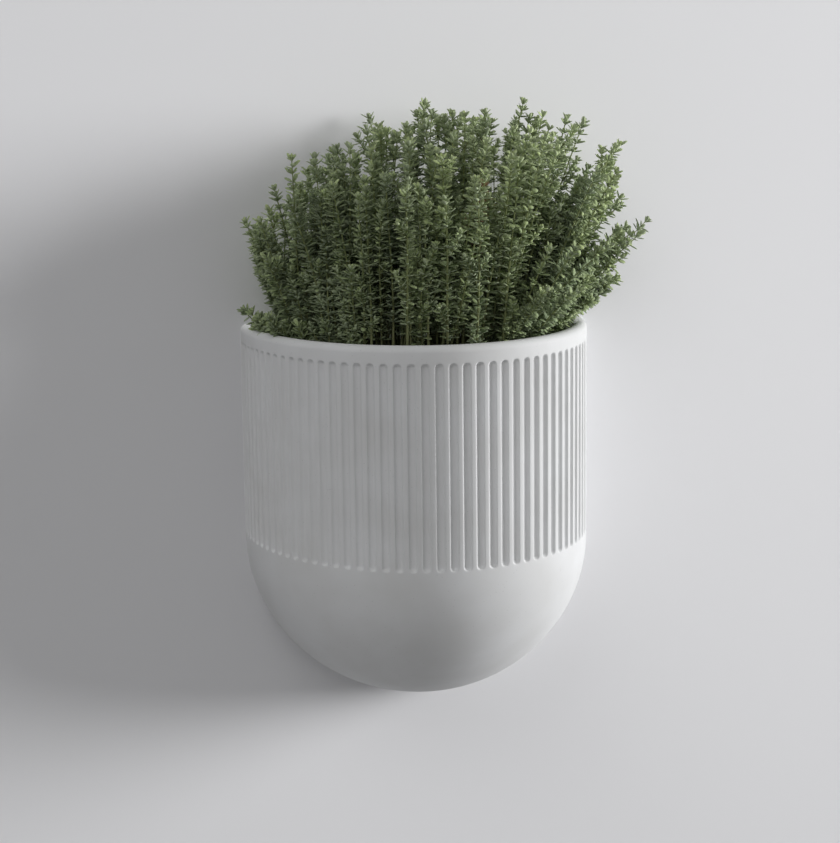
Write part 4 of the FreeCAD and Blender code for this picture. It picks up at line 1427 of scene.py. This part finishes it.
def link_lamp(made, surfaces, state):
    """Makes a lamp light stage surfaces alone, or everything but them, as a flag would."""
    group = bpy.data.collections.new(made.name + "_flag")
    for item in surfaces:
        group.objects.link(item)
    for member in group.collection_objects:
        member.light_linking.link_state = state
    made.light_linking.receiver_collection = group
    if state == "EXCLUDE":
        made.light_linking.blocker_collection = group


class PLANTER_OT_studio(bpy.types.Operator):
    """Set up the wall, the floor, the light and the camera"""

    bl_idname = "planter.studio"
    bl_label = "Studio"

    def execute(self, context):
        studio = context.scene.planter_studio
        low, high = -FLOOR_BELOW, WALL_REACH
        upright = ((-high, low), (high, low), (high, high), (-high, high))
        wall = plane("stage_wall", [(x, WALL_GAP, z) for x, z in upright], painted_wall(studio))
        level = ((-high, -high), (high, -high), (high, high), (-high, high))
        floor = plane("stage_floor", [(x, y, low) for x, y in level], pale_floor(studio))
        camera(studio)
        lamp("front", studio.front_power, *FRONT_LAMP)
        link_lamp(lamp("key", studio.key_power, *KEY_LAMP), (wall, floor), "EXCLUDE")
        link_lamp(lamp("back", studio.back_power, *BACK_LAMP), (wall, floor), "EXCLUDE")
        link_lamp(lamp("wall_key", studio.wall_power, *WALL_LAMP), (wall,), "INCLUDE")
        context.scene.world = studio_world(studio)
        context.scene.view_settings.view_transform = "Standard"
        return {"FINISHED"}


# ---------------------------------------------------------------- add-on


class PLANTER_PT_build(bpy.types.Panel):
    """Lists the planter's build steps"""

    bl_idname = "PLANTER_PT_build"
    bl_label = "Wall planter"
    bl_space_type = "VIEW_3D"
    bl_region_type = "UI"
    bl_category = "Planter"

    def draw(self, context):
        for operator in OPERATORS:
            self.layout.operator(operator.bl_idname)


OPERATORS = (
    PLANTER_OT_pot,
    PLANTER_OT_fixings,
    PLANTER_OT_liner,
    PLANTER_OT_soil,
    PLANTER_OT_thyme,
    PLANTER_OT_dry_sprig,
    PLANTER_OT_studio,
)
GROUPS = (
    ("planter_pot", PlanterPot),
    ("planter_plants", PlanterPlants),
    ("planter_studio", PlanterStudio),
)


def register():
    for name, group in GROUPS:
        bpy.utils.register_class(group)
        setattr(bpy.types.Scene, name, PointerProperty(type=group))
    for item in (*OPERATORS, PLANTER_PT_build):
        bpy.utils.register_class(item)


def unregister():
    for item in (PLANTER_PT_build, *reversed(OPERATORS)):
        bpy.utils.unregister_class(item)
    for name, group in reversed(GROUPS):
        delattr(bpy.types.Scene, name)
        bpy.utils.unregister_class(group)


def main():
    """Builds every piece in turn."""
    register()
    for operator in OPERATORS:
        group, name = operator.bl_idname.split(".")
        getattr(getattr(bpy.ops, group), name)()
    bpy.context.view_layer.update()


if __name__ == "__main__":
    main()
